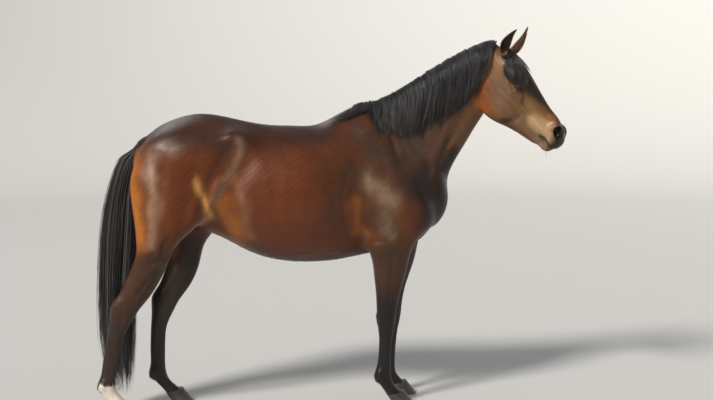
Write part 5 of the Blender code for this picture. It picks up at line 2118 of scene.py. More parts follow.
@dataclass
class Strands:
    """Guide lines of one piece of long hair, all with the same number of points."""

    name: str
    sides: int = 5
    flatness: float = 0.40
    rows: list = field(default_factory=list)   # one for each guide line, as add takes it

    def add(self, path: Array, width: Array, facing: Array, shade: float, root: Place) -> None:
        """Keep one more guide line.

        Args:
            path: its points.
            width: its half width at each point.
            facing: the way its flat side looks at each point.
            shade: how light it is, from 0 to 1.
            root: where its root lies on the unwrap of the skin.
        """
        self.rows.append((path, width, facing, shade, root))

    def lay(self, flesh: Flesh, guides: list, heights: list, notes: list) -> None:
        """Lay guide lines on the skin and keep them.

        Args:
            flesh: what they lie on.
            guides: the lines' points, near the skin.
            heights: how far over the skin each point ends.
            notes: each line's half widths, shade and root.
        """
        shape = (len(guides), -1, 3)
        flat, ways = laid(flesh, np.concatenate(guides), np.concatenate(heights))
        for path, way, (width, shade, root) in zip(flat.reshape(shape), ways.reshape(shape),
                                                   notes):
            self.add(path, width, way, shade, root)

    def build(self, tree: Tree, material: Material) -> Item:
        """Make every guide line solid and write the bake map.

        Args:
            tree: the geometry nodes that make it solid.
            material: its finish.

        Returns:
            The finished hair.
        """
        paths, widths, facings, shades, roots = (np.array(column) for column in zip(*self.rows))
        count, steps = paths.shape[:2]
        index = np.arange(count * steps).reshape(count, steps)
        edges = np.stack([index[:, :-1].ravel(), index[:, 1:].ravel()], axis=1)
        data = bpy.data.meshes.new(self.name)
        data.from_pydata(paths.reshape(-1, 3), edges.tolist(), [])
        store(data, "thickness", "FLOAT", widths.ravel())
        store(data, "facing", "FLOAT_VECTOR", facings.reshape(-1, 3))
        store(data, "shade", "FLOAT", np.repeat(shades, steps))
        store(data, "share", "FLOAT", np.tile(np.linspace(0.0, 1.0, steps), count))
        item = object_of(self.name, data, smooth=False)
        run_tree(item, tree, Sides=self.sides, Flatness=self.flatness, Material=material)
        made = len(item.data.vertices)
        if made != count * steps * self.sides:
            raise ValueError(f"{self.name}: {made} vertices for {count} strands")
        along = np.repeat(np.tile(np.linspace(0.0, 1.0, steps), count), self.sides)
        around = np.tile(np.arange(self.sides) / self.sides, count * steps)
        spots = np.repeat(roots.astype(float), steps * self.sides, axis=0)
        write_bake_map(item.data, spots, np.column_stack([along, around]))
        item.data.shade_smooth()
        return item


def laid(flesh: Flesh, points: Array, heights: Array) -> tuple[Array, Array]:
    """Lay points on the skin at given heights over it.

    Args:
        flesh: what they lie on.
        points: places near the skin.
        heights: how far over the skin each one ends.

    Returns:
        The moved points, and the way out of the skin at each.
    """
    tiny, corrections = 0.004, 4
    ways = np.zeros_like(points)
    for _ in range(corrections):
        here = flesh.value(points)
        for axis in range(3):
            shifted = points.copy()
            shifted[:, axis] += tiny
            ways[:, axis] = (flesh.value(shifted) - here) / tiny
        size = np.maximum(np.linalg.norm(ways, axis=1, keepdims=True), 0.25)
        ways /= size
        points = points + ways * np.clip(heights - here / size[:, 0], -0.03, 0.03)[:, None]
    return points, ways


@dataclass
class Mane:
    """The mane: locks from the crest that fall down the right side of the neck."""

    flesh: Flesh
    name: str
    seed: int
    lift: float = 0.0                          # how much higher than the lowest layer it lies
    layers: float = 0.010                      # how much higher still its topmost lock lies
    lock_spread: float = 0.0070                # of a lock's roots along the crest
    lean_spread: float = 0.045
    end_spread: float = 0.020                  # of the locks' ends, up and down
    tip_spread: float = 0.014                  # of each strand's end within its lock
    over: float = 0.075                        # how far it swings out over the crest
    locks: int = 76
    per_lock: int = 22
    steps: int = 15
    sides: int = 4
    start: float = 0.300                       # x of the first root, at the withers
    end: float = 1.030                         # x of the last root, at the poll
    half_width: float = 0.00100
    # crest and lower edge of the hair, as (x, z)
    crest: tuple = ((.290, 1.603), (.360, 1.606), (.445, 1.642), (.500, 1.668), (.571, 1.712),
                    (.635, 1.755), (.715, 1.810), (.780, 1.860), (.821, 1.893), (.863, 1.908),
                    (.927, 1.918), (.979, 1.940), (1.032, 1.948))
    hem: tuple = ((.120, 1.510), (.200, 1.548), (.285, 1.560), (.325, 1.480), (.350, 1.468),
                  (.413, 1.462), (.536, 1.464), (.626, 1.484), (.725, 1.526), (.802, 1.575),
                  (.870, 1.625), (.920, 1.668), (.963, 1.715), (1.010, 1.770), (1.036, 1.820))
    leans: tuple = ((.300, .50), (.360, .26), (.400, .22), (.480, .14), (.850, .12), (.950, .26),
                    (1.030, .50))              # how far tips lie behind roots, for each fall
    # how far locks are swept back over the withers
    sweep: tuple = ((.300, .160), (.345, .130), (.365, .020), (.400, .0), (1.0, .0))
    middle: tuple = ((.36, 0.0), (.70, -.025), (.86, -.055), (1.03, -.088))   # y of the crest
    bends: tuple = ((.90, 1.5), (1.02, 0.80))  # below 1 a lock goes back before it falls

    def build(self, tree: Tree, material: Material) -> Item:
        """Guide every strand and make them solid.

        Args:
            tree: the geometry nodes that make strands solid.
            material: the hair's finish.

        Returns:
            The finished hair.
        """
        draw = np.random.default_rng(self.seed)
        hair = Strands(self.name, self.sides, 0.42)
        t = np.linspace(0.0, 1.0, self.steps)**1.3
        guides, heights, notes = [], [], []
        for lock in range(self.locks):
            share = (lock + 0.5 + draw.normal() * 0.20) / self.locks
            middle = self.start + (self.end - self.start) * np.clip(share, 0.0, 1.0)
            reach = draw.normal() * self.end_spread
            lean = from_table(self.leans, middle) + self.lean_spread * draw.normal()
            swept = from_table(self.sweep, middle) * draw.uniform(0.4, 1.1)
            layer = 0.003 + (self.lift + self.layers * draw.random()) * (1.0 - 4.0 * swept)
            thick = draw.uniform(0.75, 1.25)
            wave = draw.normal(size=2) * 0.005
            shade = draw.random()
            for _ in range(self.per_lock):
                offset = draw.normal() * self.lock_spread
                x0 = middle + offset
                beyond = 0.024 - 0.09 * swept - 0.03 * eased(x0, 0.92, 1.0)
                across = draw.uniform(-0.012, max(beyond, 0.0))
                z0 = from_table(self.crest, x0)
                tip = x0 - lean * 0.24 - swept
                z1 = from_table(self.hem, tip) + reach + draw.normal() * self.tip_spread
                z1 = min(z1, z0 - 0.03)
                side, bend = from_table(self.middle, x0), from_table(self.bends, x0)
                gather = 1.0 - 0.60 * t + 0.25 * t**3   # a lock's strands draw together
                run = z0 - z1
                x = middle - lean * run * t**bend - swept * t**1.1 + offset * gather \
                    + wave[0] * np.sin(t * 5.0 + share * 9.0) + draw.normal() * 0.0025 * t
                z = z0 - run * t**1.12
                over = self.over * min(run / 0.12, 1.0)
                y = side + across * (1.0 - eased(t, 0.0, 0.15)) - over * eased(t, 0.0, 0.45)
                guides.append(np.column_stack([x, y, z]))
                lift = (layer + draw.random() * 0.005) * eased(t, 0.0, 0.12) - 0.002
                heights.append(lift + 0.006 * np.exp(-((t - 0.12) / 0.09)**2)
                               * min(run / 0.15, 1.0))
                width = self.half_width * thick * (0.75 + 0.5 * draw.random())
                notes.append((width * np.clip(1.25 - t**3 * 1.15, 0.12, 1.0),
                              np.clip(shade * 0.65 + 0.35 * draw.random(), 0, 1),
                              (share, across)))
        hair.lay(self.flesh, guides, heights, notes)
        return hair.build(tree, material)


@dataclass
class Forelock:
    """The forelock: from between the ears over the forehead to the right eye."""

    flesh: Flesh
    seed: int = 22
    locks: int = 44
    per_lock: int = 22
    steps: int = 13
    half_width: float = 0.00100
    # where the tips of each lock lie, from the left one to the right: along, up, right
    tips: tuple = ((.185, .086, .008), (.222, .068, .036), (.232, .040, .080),
                   (.222, .008, .090), (.200, -.006, .094), (.150, -.012, .090))

    def build(self, tree: Tree, material: Material) -> Item:
        """Guide every strand and make them solid.

        Args:
            tree: the geometry nodes that make strands solid.
            material: the hair's finish.

        Returns:
            The finished hair.
        """
        draw = np.random.default_rng(self.seed)
        hair = Strands("forelock_locks", 4, 0.45)
        t = np.linspace(0.0, 1.0, self.steps)
        guides, heights, notes = [], [], []
        for lock in range(self.locks):
            share = (lock + 0.5) / self.locks
            root = (-0.020 + 0.050 * share + 0.030 * draw.random(), -0.032 + 0.074 * share)
            ends = [np.interp(share, np.linspace(0.0, 1.0, len(self.tips)), column)
                    for column in np.array(self.tips).T] + draw.normal(size=3) * (.012, .0, .006)
            layer = 0.003 + 0.011 * draw.random()
            shade = draw.random()
            for _ in range(self.per_lock):
                spread = draw.normal(size=2) * 0.0055
                gather = 1.0 - 0.5 * t
                along = root[0] + spread[0] * gather \
                    + (ends[0] + draw.normal() * 0.008 - root[0]) * t**1.1
                out = root[1] + (ends[2] - root[1]) * np.sin(t * math.pi / 2) \
                    + spread[1] * gather + 0.003 * np.sin(t * 6.0 + share * 12.0)
                up = 0.085 + (ends[1] - 0.085) * t**1.5
                guides.append(np.array([head_point(*row) for row in zip(along, up, out)]))
                heights.append((layer + draw.random() * 0.004) * eased(t, 0.0, 0.2) - 0.001
                               + 0.010 * np.exp(-((t - 0.20) / 0.16)**2))
                width = self.half_width * (0.75 + 0.5 * draw.random())
                notes.append((width * np.clip(1.2 - t**3 * 1.1, 0.12, 1.0),
                              np.clip(shade * 0.6 + 0.4 * draw.random(), 0, 1),
                              (share, root[0] + spread[0])))
        hair.lay(self.flesh, guides, heights, notes)
        return hair.build(tree, material)


@dataclass
class Tail:
    """The tail: hair from the dock that hangs as a full brush nearly to the ground."""

    seed: int = 23
    locks: int = 60
    per_lock: int = 21
    steps: int = 20
    half_width: float = 0.0017
    golden: float = 0.618                      # turns from one lock to the next
    dock: tuple = ((-.815, 0.0, 1.446), (-.870, 0.0, 1.400), (-.925, 0.0, 1.290))
    # at each height: rear edge, front edge, half width of the hanging hair
    outline: tuple = ((.060, -1.000, -.930, .034), (.200, -1.045, -.915, .052),
                      (.380, -1.070, -.905, .066), (.540, -1.076, -.900, .070),
                      (.700, -1.078, -.895, .072), (.832, -1.073, -.884, .069),
                      (.964, -1.062, -.876, .064), (1.096, -1.042, -.872, .058),
                      (1.200, -1.016, -.868, .052), (1.306, -.980, -.856, .044),
                      (1.380, -.945, -.846, .036), (1.430, -.905, -.840, .030))

    def build(self, tree: Tree, material: Material) -> Item:
        """Guide every strand and make them solid.

        Args:
            tree: the geometry nodes that make strands solid.
            material: the hair's finish.

        Returns:
            The finished hair.
        """
        draw = np.random.default_rng(self.seed)
        hair = Strands("tail_locks", 4, 0.50)
        t = np.linspace(0.0, 1.0, self.steps)
        dock = smooth_path(self.dock, 40)
        for lock in range(self.locks):
            angle = 2.0 * math.pi * (lock * self.golden % 1.0)
            ring = math.sqrt(0.30 + 0.70 * draw.random())
            behind, beside = math.cos(angle) * ring, math.sin(angle) * ring
            down = np.clip(0.5 - 0.45 * behind + draw.normal() * 0.10, 0.02, 1.0)
            stop = 0.075 + 0.22 * draw.random()**1.3 + 0.06 * ring
            wave, turn = draw.normal() * 0.010, draw.random() * 6.0
            shade = draw.random()
            for _ in range(self.per_lock):
                spread = draw.normal(size=2) * 0.10
                share = np.clip(down + draw.normal() * 0.06, 0.0, 1.0)
                root = dock[int(share * 39)]
                swing = draw.normal() * 0.35
                start = root + np.array([0.006 - 0.020 * draw.random(),
                                         0.024 * math.sin(angle + swing),
                                         0.004 + 0.010 * draw.random()])
                last = max(stop + draw.normal() * 0.035, 0.072)
                z = start[2] + 0.010 * np.sin(np.clip(t * 9.0, 0.0, math.pi)) \
                    - (start[2] - last) * t**1.06
                rear, front, half = (from_table(self.outline, z, j) for j in (1, 2, 3))
                gather = 1.0 - 0.30 * t
                x = (rear + front) * 0.5 - (behind + spread[0] * gather) * (front - rear) * 0.5
                y = (beside + spread[1] * gather) * half + 0.008
                x = x + wave * np.sin(t * 5.0 + turn) * t + draw.normal() * 0.004 * t
                y = y + 0.7 * wave * np.cos(t * 6.0 + turn) * t
                met = eased(start[2] - z, 0.0, 0.10)
                path = np.column_stack([start[0] + (x - start[0]) * met,
                                        start[1] + (y - start[1]) * met, z])
                facing = np.column_stack([-np.full(self.steps, behind + 1e-3),
                                          np.full(self.steps, beside), np.zeros(self.steps)])
                width = self.half_width * (0.7 + 0.6 * draw.random())
                hair.add(path, width * np.clip(0.55 + 2.0 * t, 0.0, 1.0)
                         * np.clip(1.15 - t**4 * 1.05, 0.10, 1.0), facing,
                         float(np.clip(shade * 0.6 + 0.4 * draw.random(), 0, 1)),
                         (angle, down + 0.2 * ring))
        return hair.build(tree, material)


@dataclass
class Bristles:
    """Single stiff hairs: whiskers round the muzzle and under the jaw, and the eyelashes."""

    flesh: Flesh
    whisker_seed: int = 24
    lash_seed: int = 25
    whiskers: int = 32                         # on each side
    lashes: int = 22
    steps: int = 7

    def whisker_piece(self, tree: Tree, material: Material) -> Item:
        """Whiskers of both sides.

        Args:
            tree: the geometry nodes that make strands solid.
            material: their finish.

        Returns:
            The finished whiskers.
        """
        draw = np.random.default_rng(self.whisker_seed)
        hair = Strands("whiskers", 4, 1.0)
        t = np.linspace(0.0, 1.0, self.steps)
        for side in SIDES:
            for _ in range(self.whiskers):
                along = 0.49 + 0.12 * draw.random()
                up = -0.115 + 0.10 * draw.random()**1.2
                place = self.flesh.on_skin(head_point(along, up, side * 0.04),
                                           HEAD[2] * -side, 0.10)
                length = 0.014 + 0.017 * draw.random()
                out = HEAD[2] * side * (0.5 + 0.5 * draw.random()) \
                    + HEAD[0] * (0.5 + 0.5 * draw.random()) - HEAD[1] * 0.4
                out = out / np.linalg.norm(out)
                path = place + out * (t * length - 0.001)[:, None] \
                    + np.array((0, 0, -1.0)) * (length * 0.35 * t**2)[:, None]
                hair.add(path, 0.00034 * (1.0 - 0.85 * t), np.tile(HEAD[1], (self.steps, 1)),
                         draw.random() * 0.5, (along, up * side))
        return hair.build(tree, material)

    def lash_piece(self, tree: Tree, material: Material) -> Item:
        """Upper lashes of both eyes.

        Args:
            tree: the geometry nodes that make strands solid.
            material: their finish.

        Returns:
            The finished lashes.
        """
        draw = np.random.default_rng(self.lash_seed)
        hair = Strands("eyelashes", 4, 1.0)
        t = np.linspace(0.0, 1.0, self.steps)
        along, up, right = EYE_PLACE
        slit = HEAD[0] * 0.93 + HEAD[1] * 0.36
        for side in SIDES:
            out = HEAD[2] * side
            for k in range(self.lashes):
                s = -0.013 + 0.028 * (k + draw.random()) / self.lashes
                place = head_point(along, up, side * right) + slit * s \
                    + HEAD[1] * (0.0115 - 22.0 * (s - .001)**2) + out * 0.0190
                way = out * 0.75 - HEAD[1] * 0.45 + HEAD[0] * (0.25 + 10.0 * s)
                way = way / np.linalg.norm(way)
                length = 0.011 + 0.006 * draw.random()
                path = place + way * (t * length)[:, None] \
                    + HEAD[1] * (length * 0.30 * t**2)[:, None]
                hair.add(path, 0.00038 * (1.0 - 0.8 * t), np.tile(HEAD[1], (self.steps, 1)),
                         draw.random() * 0.3, (s * side, draw.random()))
        return hair.build(tree, material)


def tuft_shape() -> Item:
    """One tuft of unit length: three thin tapered blades from one root.

    Returns:
        The tuft, from which all the others are copied.
    """
    places, faces, patch = [], [], []
    # turn in the plane, lift, length, half width of each blade
    for turn, lift, length, half in ((-.20, .05, .88, .030), (.02, .09, 1.0, .034),
                                     (.18, .03, .80, .028)):
        first = len(places)
        for share, wide, thick in ((-0.06, 0.60, .014), (0.45, 1.0, .018)):
            x = share * length
            rise = lift * max(share, 0.0)**1.4 - 0.010
            for side, up in ((-1, 0.0), (1, 0.0), (0, 1.0)):
                y = side * half * wide
                places.append((x * math.cos(turn) - y * math.sin(turn),
                               x * math.sin(turn) + y * math.cos(turn), rise + up * thick))
                patch.append((max(share, 0.0), 0.5 + side * 0.5, 0.0))
        places.append((length * math.cos(turn), length * math.sin(turn), lift * 0.9))
        patch.append((1.0, 0.5, 0.0))
        a = first
        faces += [(a, a + 1, a + 2), (a, a + 3, a + 4, a + 1), (a + 1, a + 4, a + 5, a + 2),
                  (a + 2, a + 5, a + 3, a), (a + 3, a + 6, a + 4), (a + 4, a + 6, a + 5),
                  (a + 5, a + 6, a + 3)]
    data = solid_mesh("tuft", places, faces, triangles=True)
    store(data, "patch", "FLOAT_VECTOR", np.array(patch))
    return object_of("tuft", data)


def unwrapped(points: Array, coat: Coat) -> Array:
    """Unwrap the skin: islands for trunk, neck, head and each leg.

    Args:
        points: places on the skin.
        coat: tells which region each one is in.

    Returns:
        Each one's place on the unwrap, between 0 and 1.
    """
    angle = np.arctan2(points[:, 1], points[:, 2] - 1.15) / (2 * math.pi) + 0.5
    found = np.column_stack([0.02 + 0.56 * (points[:, 0] + 0.95) / 1.75, 0.02 + 0.44 * angle])
    neck = in_neck(points)
    on_neck = neck[:, 0] > 0.12
    turn = np.arctan2(neck[:, 2], neck[:, 1] + 0.08) / (2 * math.pi) + 0.5
    found[on_neck] = np.column_stack([0.62 + 0.36 * neck[:, 0] / 0.8,
                                      0.02 + 0.44 * turn])[on_neck]
    head = in_head(points)
    on_head = coat.head_share(points) > 0.5
    turn = np.arctan2(head[:, 2], head[:, 1] + 0.03) / (2 * math.pi) + 0.5
    found[on_head] = np.column_stack([0.04 + 0.34 * (head[:, 0] + 0.1) / 0.75,
                                      0.53 + 0.44 * turn])[on_head]
    for column, (ahead, left) in enumerate(((-1, -1), (-1, 1), (1, -1), (1, 1))):
        on_leg = (coat.leg_share(points) > 0.5) & (np.sign(points[:, 0]) == ahead) \
            & (np.sign(points[:, 1]) == left)
        foot = FORE_FOOT if ahead > 0 else HIND_FOOT
        turn = np.arctan2(points[:, 1] - left * foot[1], points[:, 0] - foot[0]) / 6.3 + 0.5
        found[on_leg] = np.column_stack([0.42 + 0.145 * column + 0.13 * turn,
                                         0.53 + 0.45 * points[:, 2]])[on_leg]
    return found


@dataclass
class Tufts:
    """Short tufts of one region of the coat, rooted on the skin."""

    name: str
    count: int
    seed: int
    region: Callable[[Array], Array]            # how densely tufts stand at each point
    length: Callable[[Array], Array]            # how long they are there
    lift: float = 0.03                          # how steeply they leave the skin

    def build(self, skin: Item, coat: Coat, tuft: Item,
              tree: Tree, material: Material) -> Item:
        """Choose roots on the skin, turn each tuft along the lie, and make them solid.

        Args:
            skin: what they grow on.
            coat: their colours and the way they lie.
            tuft: one tuft of unit length.
            tree: the geometry nodes that set it on every root.
            material: their finish.

        Returns:
            The finished tufts.
        """
        draw = np.random.default_rng(self.seed)
        skin.data.calc_loop_triangles()
        corners = np.empty(len(skin.data.loop_triangles) * 3, np.int32)
        skin.data.loop_triangles.foreach_get("vertices", corners)
        places = vertices_of(skin.data)[corners.reshape(-1, 3)]
        cross = np.cross(places[:, 1] - places[:, 0], places[:, 2] - places[:, 0])
        area = np.linalg.norm(cross, axis=1)
        weight = area * self.region(places.mean(axis=1))
        chosen = draw.choice(len(area), self.count, p=weight / weight.sum())
        mix = draw.dirichlet((1.0, 1.0, 1.0), self.count)
        roots = (places[chosen] * mix[:, :, None]).sum(axis=1)
        out = cross[chosen] / np.maximum(area[chosen], 1e-12)[:, None]
        way = coat.lie(roots) + draw.normal(size=roots.shape) * 0.14
        way -= (way * out).sum(axis=1, keepdims=True) * out
        way /= np.maximum(np.linalg.norm(way, axis=1, keepdims=True), 1e-6)
        way += out * (self.lift * (0.5 + draw.random(self.count)))[:, None]
        way /= np.linalg.norm(way, axis=1, keepdims=True)
        side = np.cross(out, way)
        side /= np.linalg.norm(side, axis=1, keepdims=True)
        up = np.cross(way, side)
        turns = [Matrix((a, b, c)).transposed().to_euler("XYZ")[:] for a, b, c in
                 zip(way, side, up)]
        long = self.length(roots) * (0.7 + 0.6 * draw.random(self.count))
        data = bpy.data.meshes.new(self.name)
        data.from_pydata(roots - out * 0.0003, [], [])
        store(data, "turn", "FLOAT_VECTOR", np.array(turns))
        store(data, "size", "FLOAT_VECTOR", np.column_stack([long, long, long]))
        store(data, "coat", "FLOAT_COLOR",
              np.column_stack([coat.colour(roots), np.ones(self.count)]))
        store(data, "shade", "FLOAT", draw.random(self.count))
        store(data, "out", "FLOAT_VECTOR", out)
        spots = unwrapped(roots, coat)
        store(data, "root", "FLOAT_VECTOR", np.column_stack([spots, np.zeros(self.count)]))
        item = object_of(self.name, data, smooth=False)
        run_tree(item, tree, Tuft=tuft, Length=1.0, Material=material)
        write_bake_map(item.data, loaded(item.data, "root", "FLOAT_VECTOR", 3)[:, :2],
                       loaded(item.data, "patch", "FLOAT_VECTOR", 3)[:, :2])
        item.data.shade_smooth()
        item.data.normals_split_custom_set_from_vertices(
            loaded(item.data, "out", "FLOAT_VECTOR", 3).tolist())
        return item


# ---------------------------------------------------------------- hooves and eyes
def ring_mesh(name: str, rings: Sequence[Array]) -> Mesh:
    """A closed skin over rings, with a fan at both ends.

    Args:
        name: the mesh's name.
        rings: rings of equally many points, from top to bottom.

    Returns:
        The mesh.
    """
    count = len(rings[0])
    places = [*np.concatenate(rings), rings[0].mean(axis=0), rings[-1].mean(axis=0)]
    faces: list[tuple[int, ...]] = []
    for i in range(len(rings) - 1):
        for j in range(count):
            a, b = i * count + j, i * count + (j + 1) % count
            faces.append((a, b, b + count, a + count))
    top, bottom = len(places) - 2, len(places) - 1
    last = (len(rings) - 1) * count
    faces += [(top, (j + 1) % count, j) for j in range(count)]
    faces += [(bottom, last + j, last + (j + 1) % count) for j in range(count)]
    return solid_mesh(name, places, faces)


@dataclass
class Hoof:
    """One hoof: a sloping horn wall with growth rings, heel bulbs and a flat sole."""

    pair: str                                   # "fore" or "hind"
    side: Side
    height: float = 0.0776
    coronet: tuple[float, float] = (0.0515, 0.0440)   # half length, half width
    sole: tuple[float, float] = (0.0650, 0.0552)
    drop: float = 0.014                         # the coronet's middle lies this far down
    tilt: float = 0.28                          # the coronet rises toward the toe
    setback: float = 0.047                      # how far the sole lies ahead of the coronet
    heel_share: float = 0.80
    around: int = 56
    levels: int = 22
    rings: int = 7
    ring_depth: float = 0.00055
    lid_share: float = 0.55                     # the hidden top's size beside the coronet's
    wall_share: float = 0.86                    # inner edge of the wall, seen from below
    arch_share: float = 0.60                    # where the sole is highest
    arch: float = 0.005

    def foot(self) -> tuple[float, float]:
        """Where the coronet's middle is.

        Returns:
            Its x and y.
        """
        foot = FORE_FOOT if self.pair == "fore" else HIND_FOOT
        lead = FORE_LEAD if self.pair == "fore" else HIND_LEAD
        ahead = 0.0 if self.side is Side.RIGHT else from_table(lead, 0.065)
        return foot[0] + ahead, foot[1] * self.side.value

    def outline(self, half: tuple[float, float]) -> Array:
        """The wall's outline seen from above: rounded toe, narrower heels with a cleft.

        Args:
            half: half its length and half its width.

        Returns:
            One (x, y) row for each point round it.
        """
        turn = np.linspace(0.0, 2.0 * math.pi, self.around, endpoint=False)
        back = np.clip(-np.cos(turn), 0.0, 1.0)
        long = half[0] * np.where(np.cos(turn) > 0, 1.0, self.heel_share)
        cleft = 0.16 * np.exp(-((np.abs(turn - math.pi)) / 0.20)**2)
        return np.column_stack([long * np.cos(turn) * (1.0 - cleft),
                                half[1] * np.sin(turn) * (1.0 - 0.10 * back)])

    def build(self, material: Material) -> Item:
        """Loft the wall from coronet to sole.

        Args:
            material: the hoof's finish.

        Returns:
            The hoof.
        """
        x0, y0 = self.foot()
        top, bottom = self.outline(self.coronet), self.outline(self.sole)
        made = [np.column_stack([x0 + top[:, 0] * self.lid_share, y0 + top[:, 1] * self.lid_share,
                                 np.full(self.around, self.height - self.drop + 0.004)])]
        for level in range(self.levels):
            t = level / (self.levels - 1)
            flat = top + (bottom - top) * t
            ridge = 1.0 + self.ring_depth * math.sin(t * self.rings * 2 * math.pi) / 0.05
            band = 1.0 + 0.022 * math.exp(-((t - 0.06) / 0.06)**2)
            flat = flat * ridge * band
            start = self.height - self.drop + self.tilt * flat[:, 0]
            z = start * (1.0 - t)
            x = x0 + flat[:, 0] + self.setback * t
            made.append(np.column_stack([x, y0 + flat[:, 1], z]))
        edge, middle = made[-1], made[-1].mean(axis=0)
        made.append((edge - middle) * self.wall_share + middle)
        made.append((edge - middle) * self.arch_share + middle + (0, 0, self.arch))
        item = object_of(f"hoof_{self.pair}_{self.side.name.lower()}_horn",
                         ring_mesh("hoof", made))
        item.data.materials.append(material)
        return item


@dataclass
class Eye:
    """One eyeball with its bulging cornea, set in the lids."""

    side: Side
    radius: float = EYE_RADIUS - 0.0006
    bulge: float = 0.0012
    rows: int = 40
    around: int = 56

    def build(self, material: Material) -> Item:
        """Make the ball and give it its own map with the pupil at the middle.

        Args:
            material: its finish.

        Returns:
            The eyeball.
        """
        along, up, right = EYE_PLACE
        centre = head_point(along, up, -self.side.value * right)
        gaze = HEAD[2] * -self.side.value + HEAD[0] * 0.10
        axes = axes_of(gaze, HEAD[1] * 0.93 - HEAD[0] * 0.36)
        made, flat = [], []
        for row in range(1, self.rows):
            tilt = math.pi * row / self.rows
            turn = np.linspace(0.0, 2.0 * math.pi, self.around, endpoint=False)
            cornea = self.bulge * float(1.0 - eased(np.array([tilt]), 0.30, 0.75)[0])
            reach = self.radius + cornea
            local = np.column_stack([np.full(self.around, math.cos(tilt)),
                                     math.sin(tilt) * np.sin(turn),
                                     math.sin(tilt) * np.cos(turn)]) * reach
            made.append(local @ axes + centre)
            flat.append(local)
        item = object_of(f"eye_{self.side.name.lower()}_ball", ring_mesh("eye", made))
        local = (vertices_of(item.data) - centre) @ axes.T
        store(item.data, "gaze", "FLOAT_VECTOR",
              np.column_stack([local[:, 2], local[:, 1], local[:, 0]]))
        item.data.materials.append(material)
        return item


# ---------------------------------------------------------------- floor, light and camera
@dataclass
class Studio:
    """A pale floor that sweeps up far away, soft lights and the camera."""

    floor_radius: float = 13.0
    wall_radius: float = 19.0
    wall_height: float = 9.0
    rim_rows: int = 12
    around: int = 96
    floor_colour: Triple = (.54, .54, .53)
    sky_colour: Triple = (.86, .92, 1.0)
    sky_strength: float = 0.27
    # name, where it shines from, spread in degrees, power, colour
    lamps: tuple = (("key", (-0.60, -0.52, 0.62), 13.0, 3.7, (1.0, .95, .88)),
                    ("side", (-0.80, -0.56, 0.22), 16.0, 1.5, (1.0, .96, .90)),
                    ("rim", (-0.30, 0.85, 0.75), 25.0, 0.5, (1.0, .98, .95)))
    lens: float = 65.64                         # millimetres, as the sensor's width
    sensor: float = 36.0
    eye_point: Triple = (-0.949, -6.912, 1.750)
    heading: float = math.radians(9.0)
    dip: float = math.radians(5.274)

    def floor(self, material: Material) -> Item:
        """Make a round floor whose rim curves up.

        Args:
            material: the floor's finish.

        Returns:
            The floor.
        """
        rows = [(radius, 0.0) for radius in (0.02, 1.5, 4.0, 8.0, self.floor_radius)]
        for k in range(1, self.rim_rows + 1):
            turn = k / self.rim_rows * math.pi / 2
            rows.append((self.floor_radius + (self.wall_radius - self.floor_radius)
                         * math.sin(turn), self.wall_height * (1.0 - math.cos(turn))))
        around = self.around
        turns = [2 * math.pi * j / around for j in range(around)]
        places = [(radius * math.cos(turn), radius * math.sin(turn), height)
                  for radius, height in rows for turn in turns]
        faces: list[tuple[int, ...]] = []
        for low in range(0, len(places) - around, around):
            for j in range(around):
                k = (j + 1) % around
                faces.append((low + j, low + around + j, low + around + k, low + k))
        faces.append(tuple(range(around)))
        item = object_of("floor", solid_mesh("floor", places, faces))
        item.data.materials.append(material)
        return item

    def light(self, name: str, way: Triple, spread: float, power: float, colour: Triple) -> None:
        """Add a distant soft light.

        Args:
            name: its name.
            way: the direction it shines from.
            spread: how large it looks, in degrees.
            power: how strong it is.
            colour: its colour.
        """
        data = bpy.data.lights.new(name, "SUN")
        data.angle = math.radians(spread)
        data.energy = power
        data.color = colour
        item = bpy.data.objects.new(name, data)
        bpy.context.scene.collection.objects.link(item)
        item.rotation_mode = "QUATERNION"
        item.rotation_quaternion = Vector(way).to_track_quat("Z", "Y")

    def build(self, groups: Groups) -> None:
        """Make floor, world, lights and camera.

        Args:
            groups: builds the finishes.
        """
        self.floor(groups.finish(Plain("pale_floor", self.floor_colour)))
        world = bpy.data.worlds.new("soft_sky")
        world.use_nodes = True
        sky = world.node_tree.nodes["Background"]
        sky.inputs["Color"].default_value = (*self.sky_colour, 1.0)
        sky.inputs["Strength"].default_value = self.sky_strength
        bpy.context.scene.world = world
        for lamp in self.lamps:
            self.light(*lamp)
        data = bpy.data.cameras.new("camera")
        data.lens = self.lens
        data.sensor_width = self.sensor
        data.dof.use_dof = False
        item = bpy.data.objects.new("camera", data)
        bpy.context.scene.collection.objects.link(item)
        item.location = self.eye_point
        item.rotation_euler = (math.pi / 2 - self.dip, 0.0, -self.heading)
        bpy.context.scene.camera = item
        bpy.context.scene.view_settings.view_transform = "Standard"


# ---------------------------------------------------------------- the whole horse
FLESH_NODES = ("trunk", "neck", "head", "foreleg_left", "foreleg_right", "hindleg_left",
               "hindleg_right", "ear_left", "ear_right")


def finished(item: Item, slot: str, *nodes: str) -> None:
    """Place a finished piece, tie it to the body, and report it.

    Args:
        item: the piece, still in the animal's own axes.
        slot: the slot it would show; not used.
        nodes: the plain solids that it replaces.
    """
    placed(item)
    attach(item, BODY)
    if nodes:
        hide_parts(*nodes)
    log.info("%s: %d faces", item.name, len(item.data.polygons))


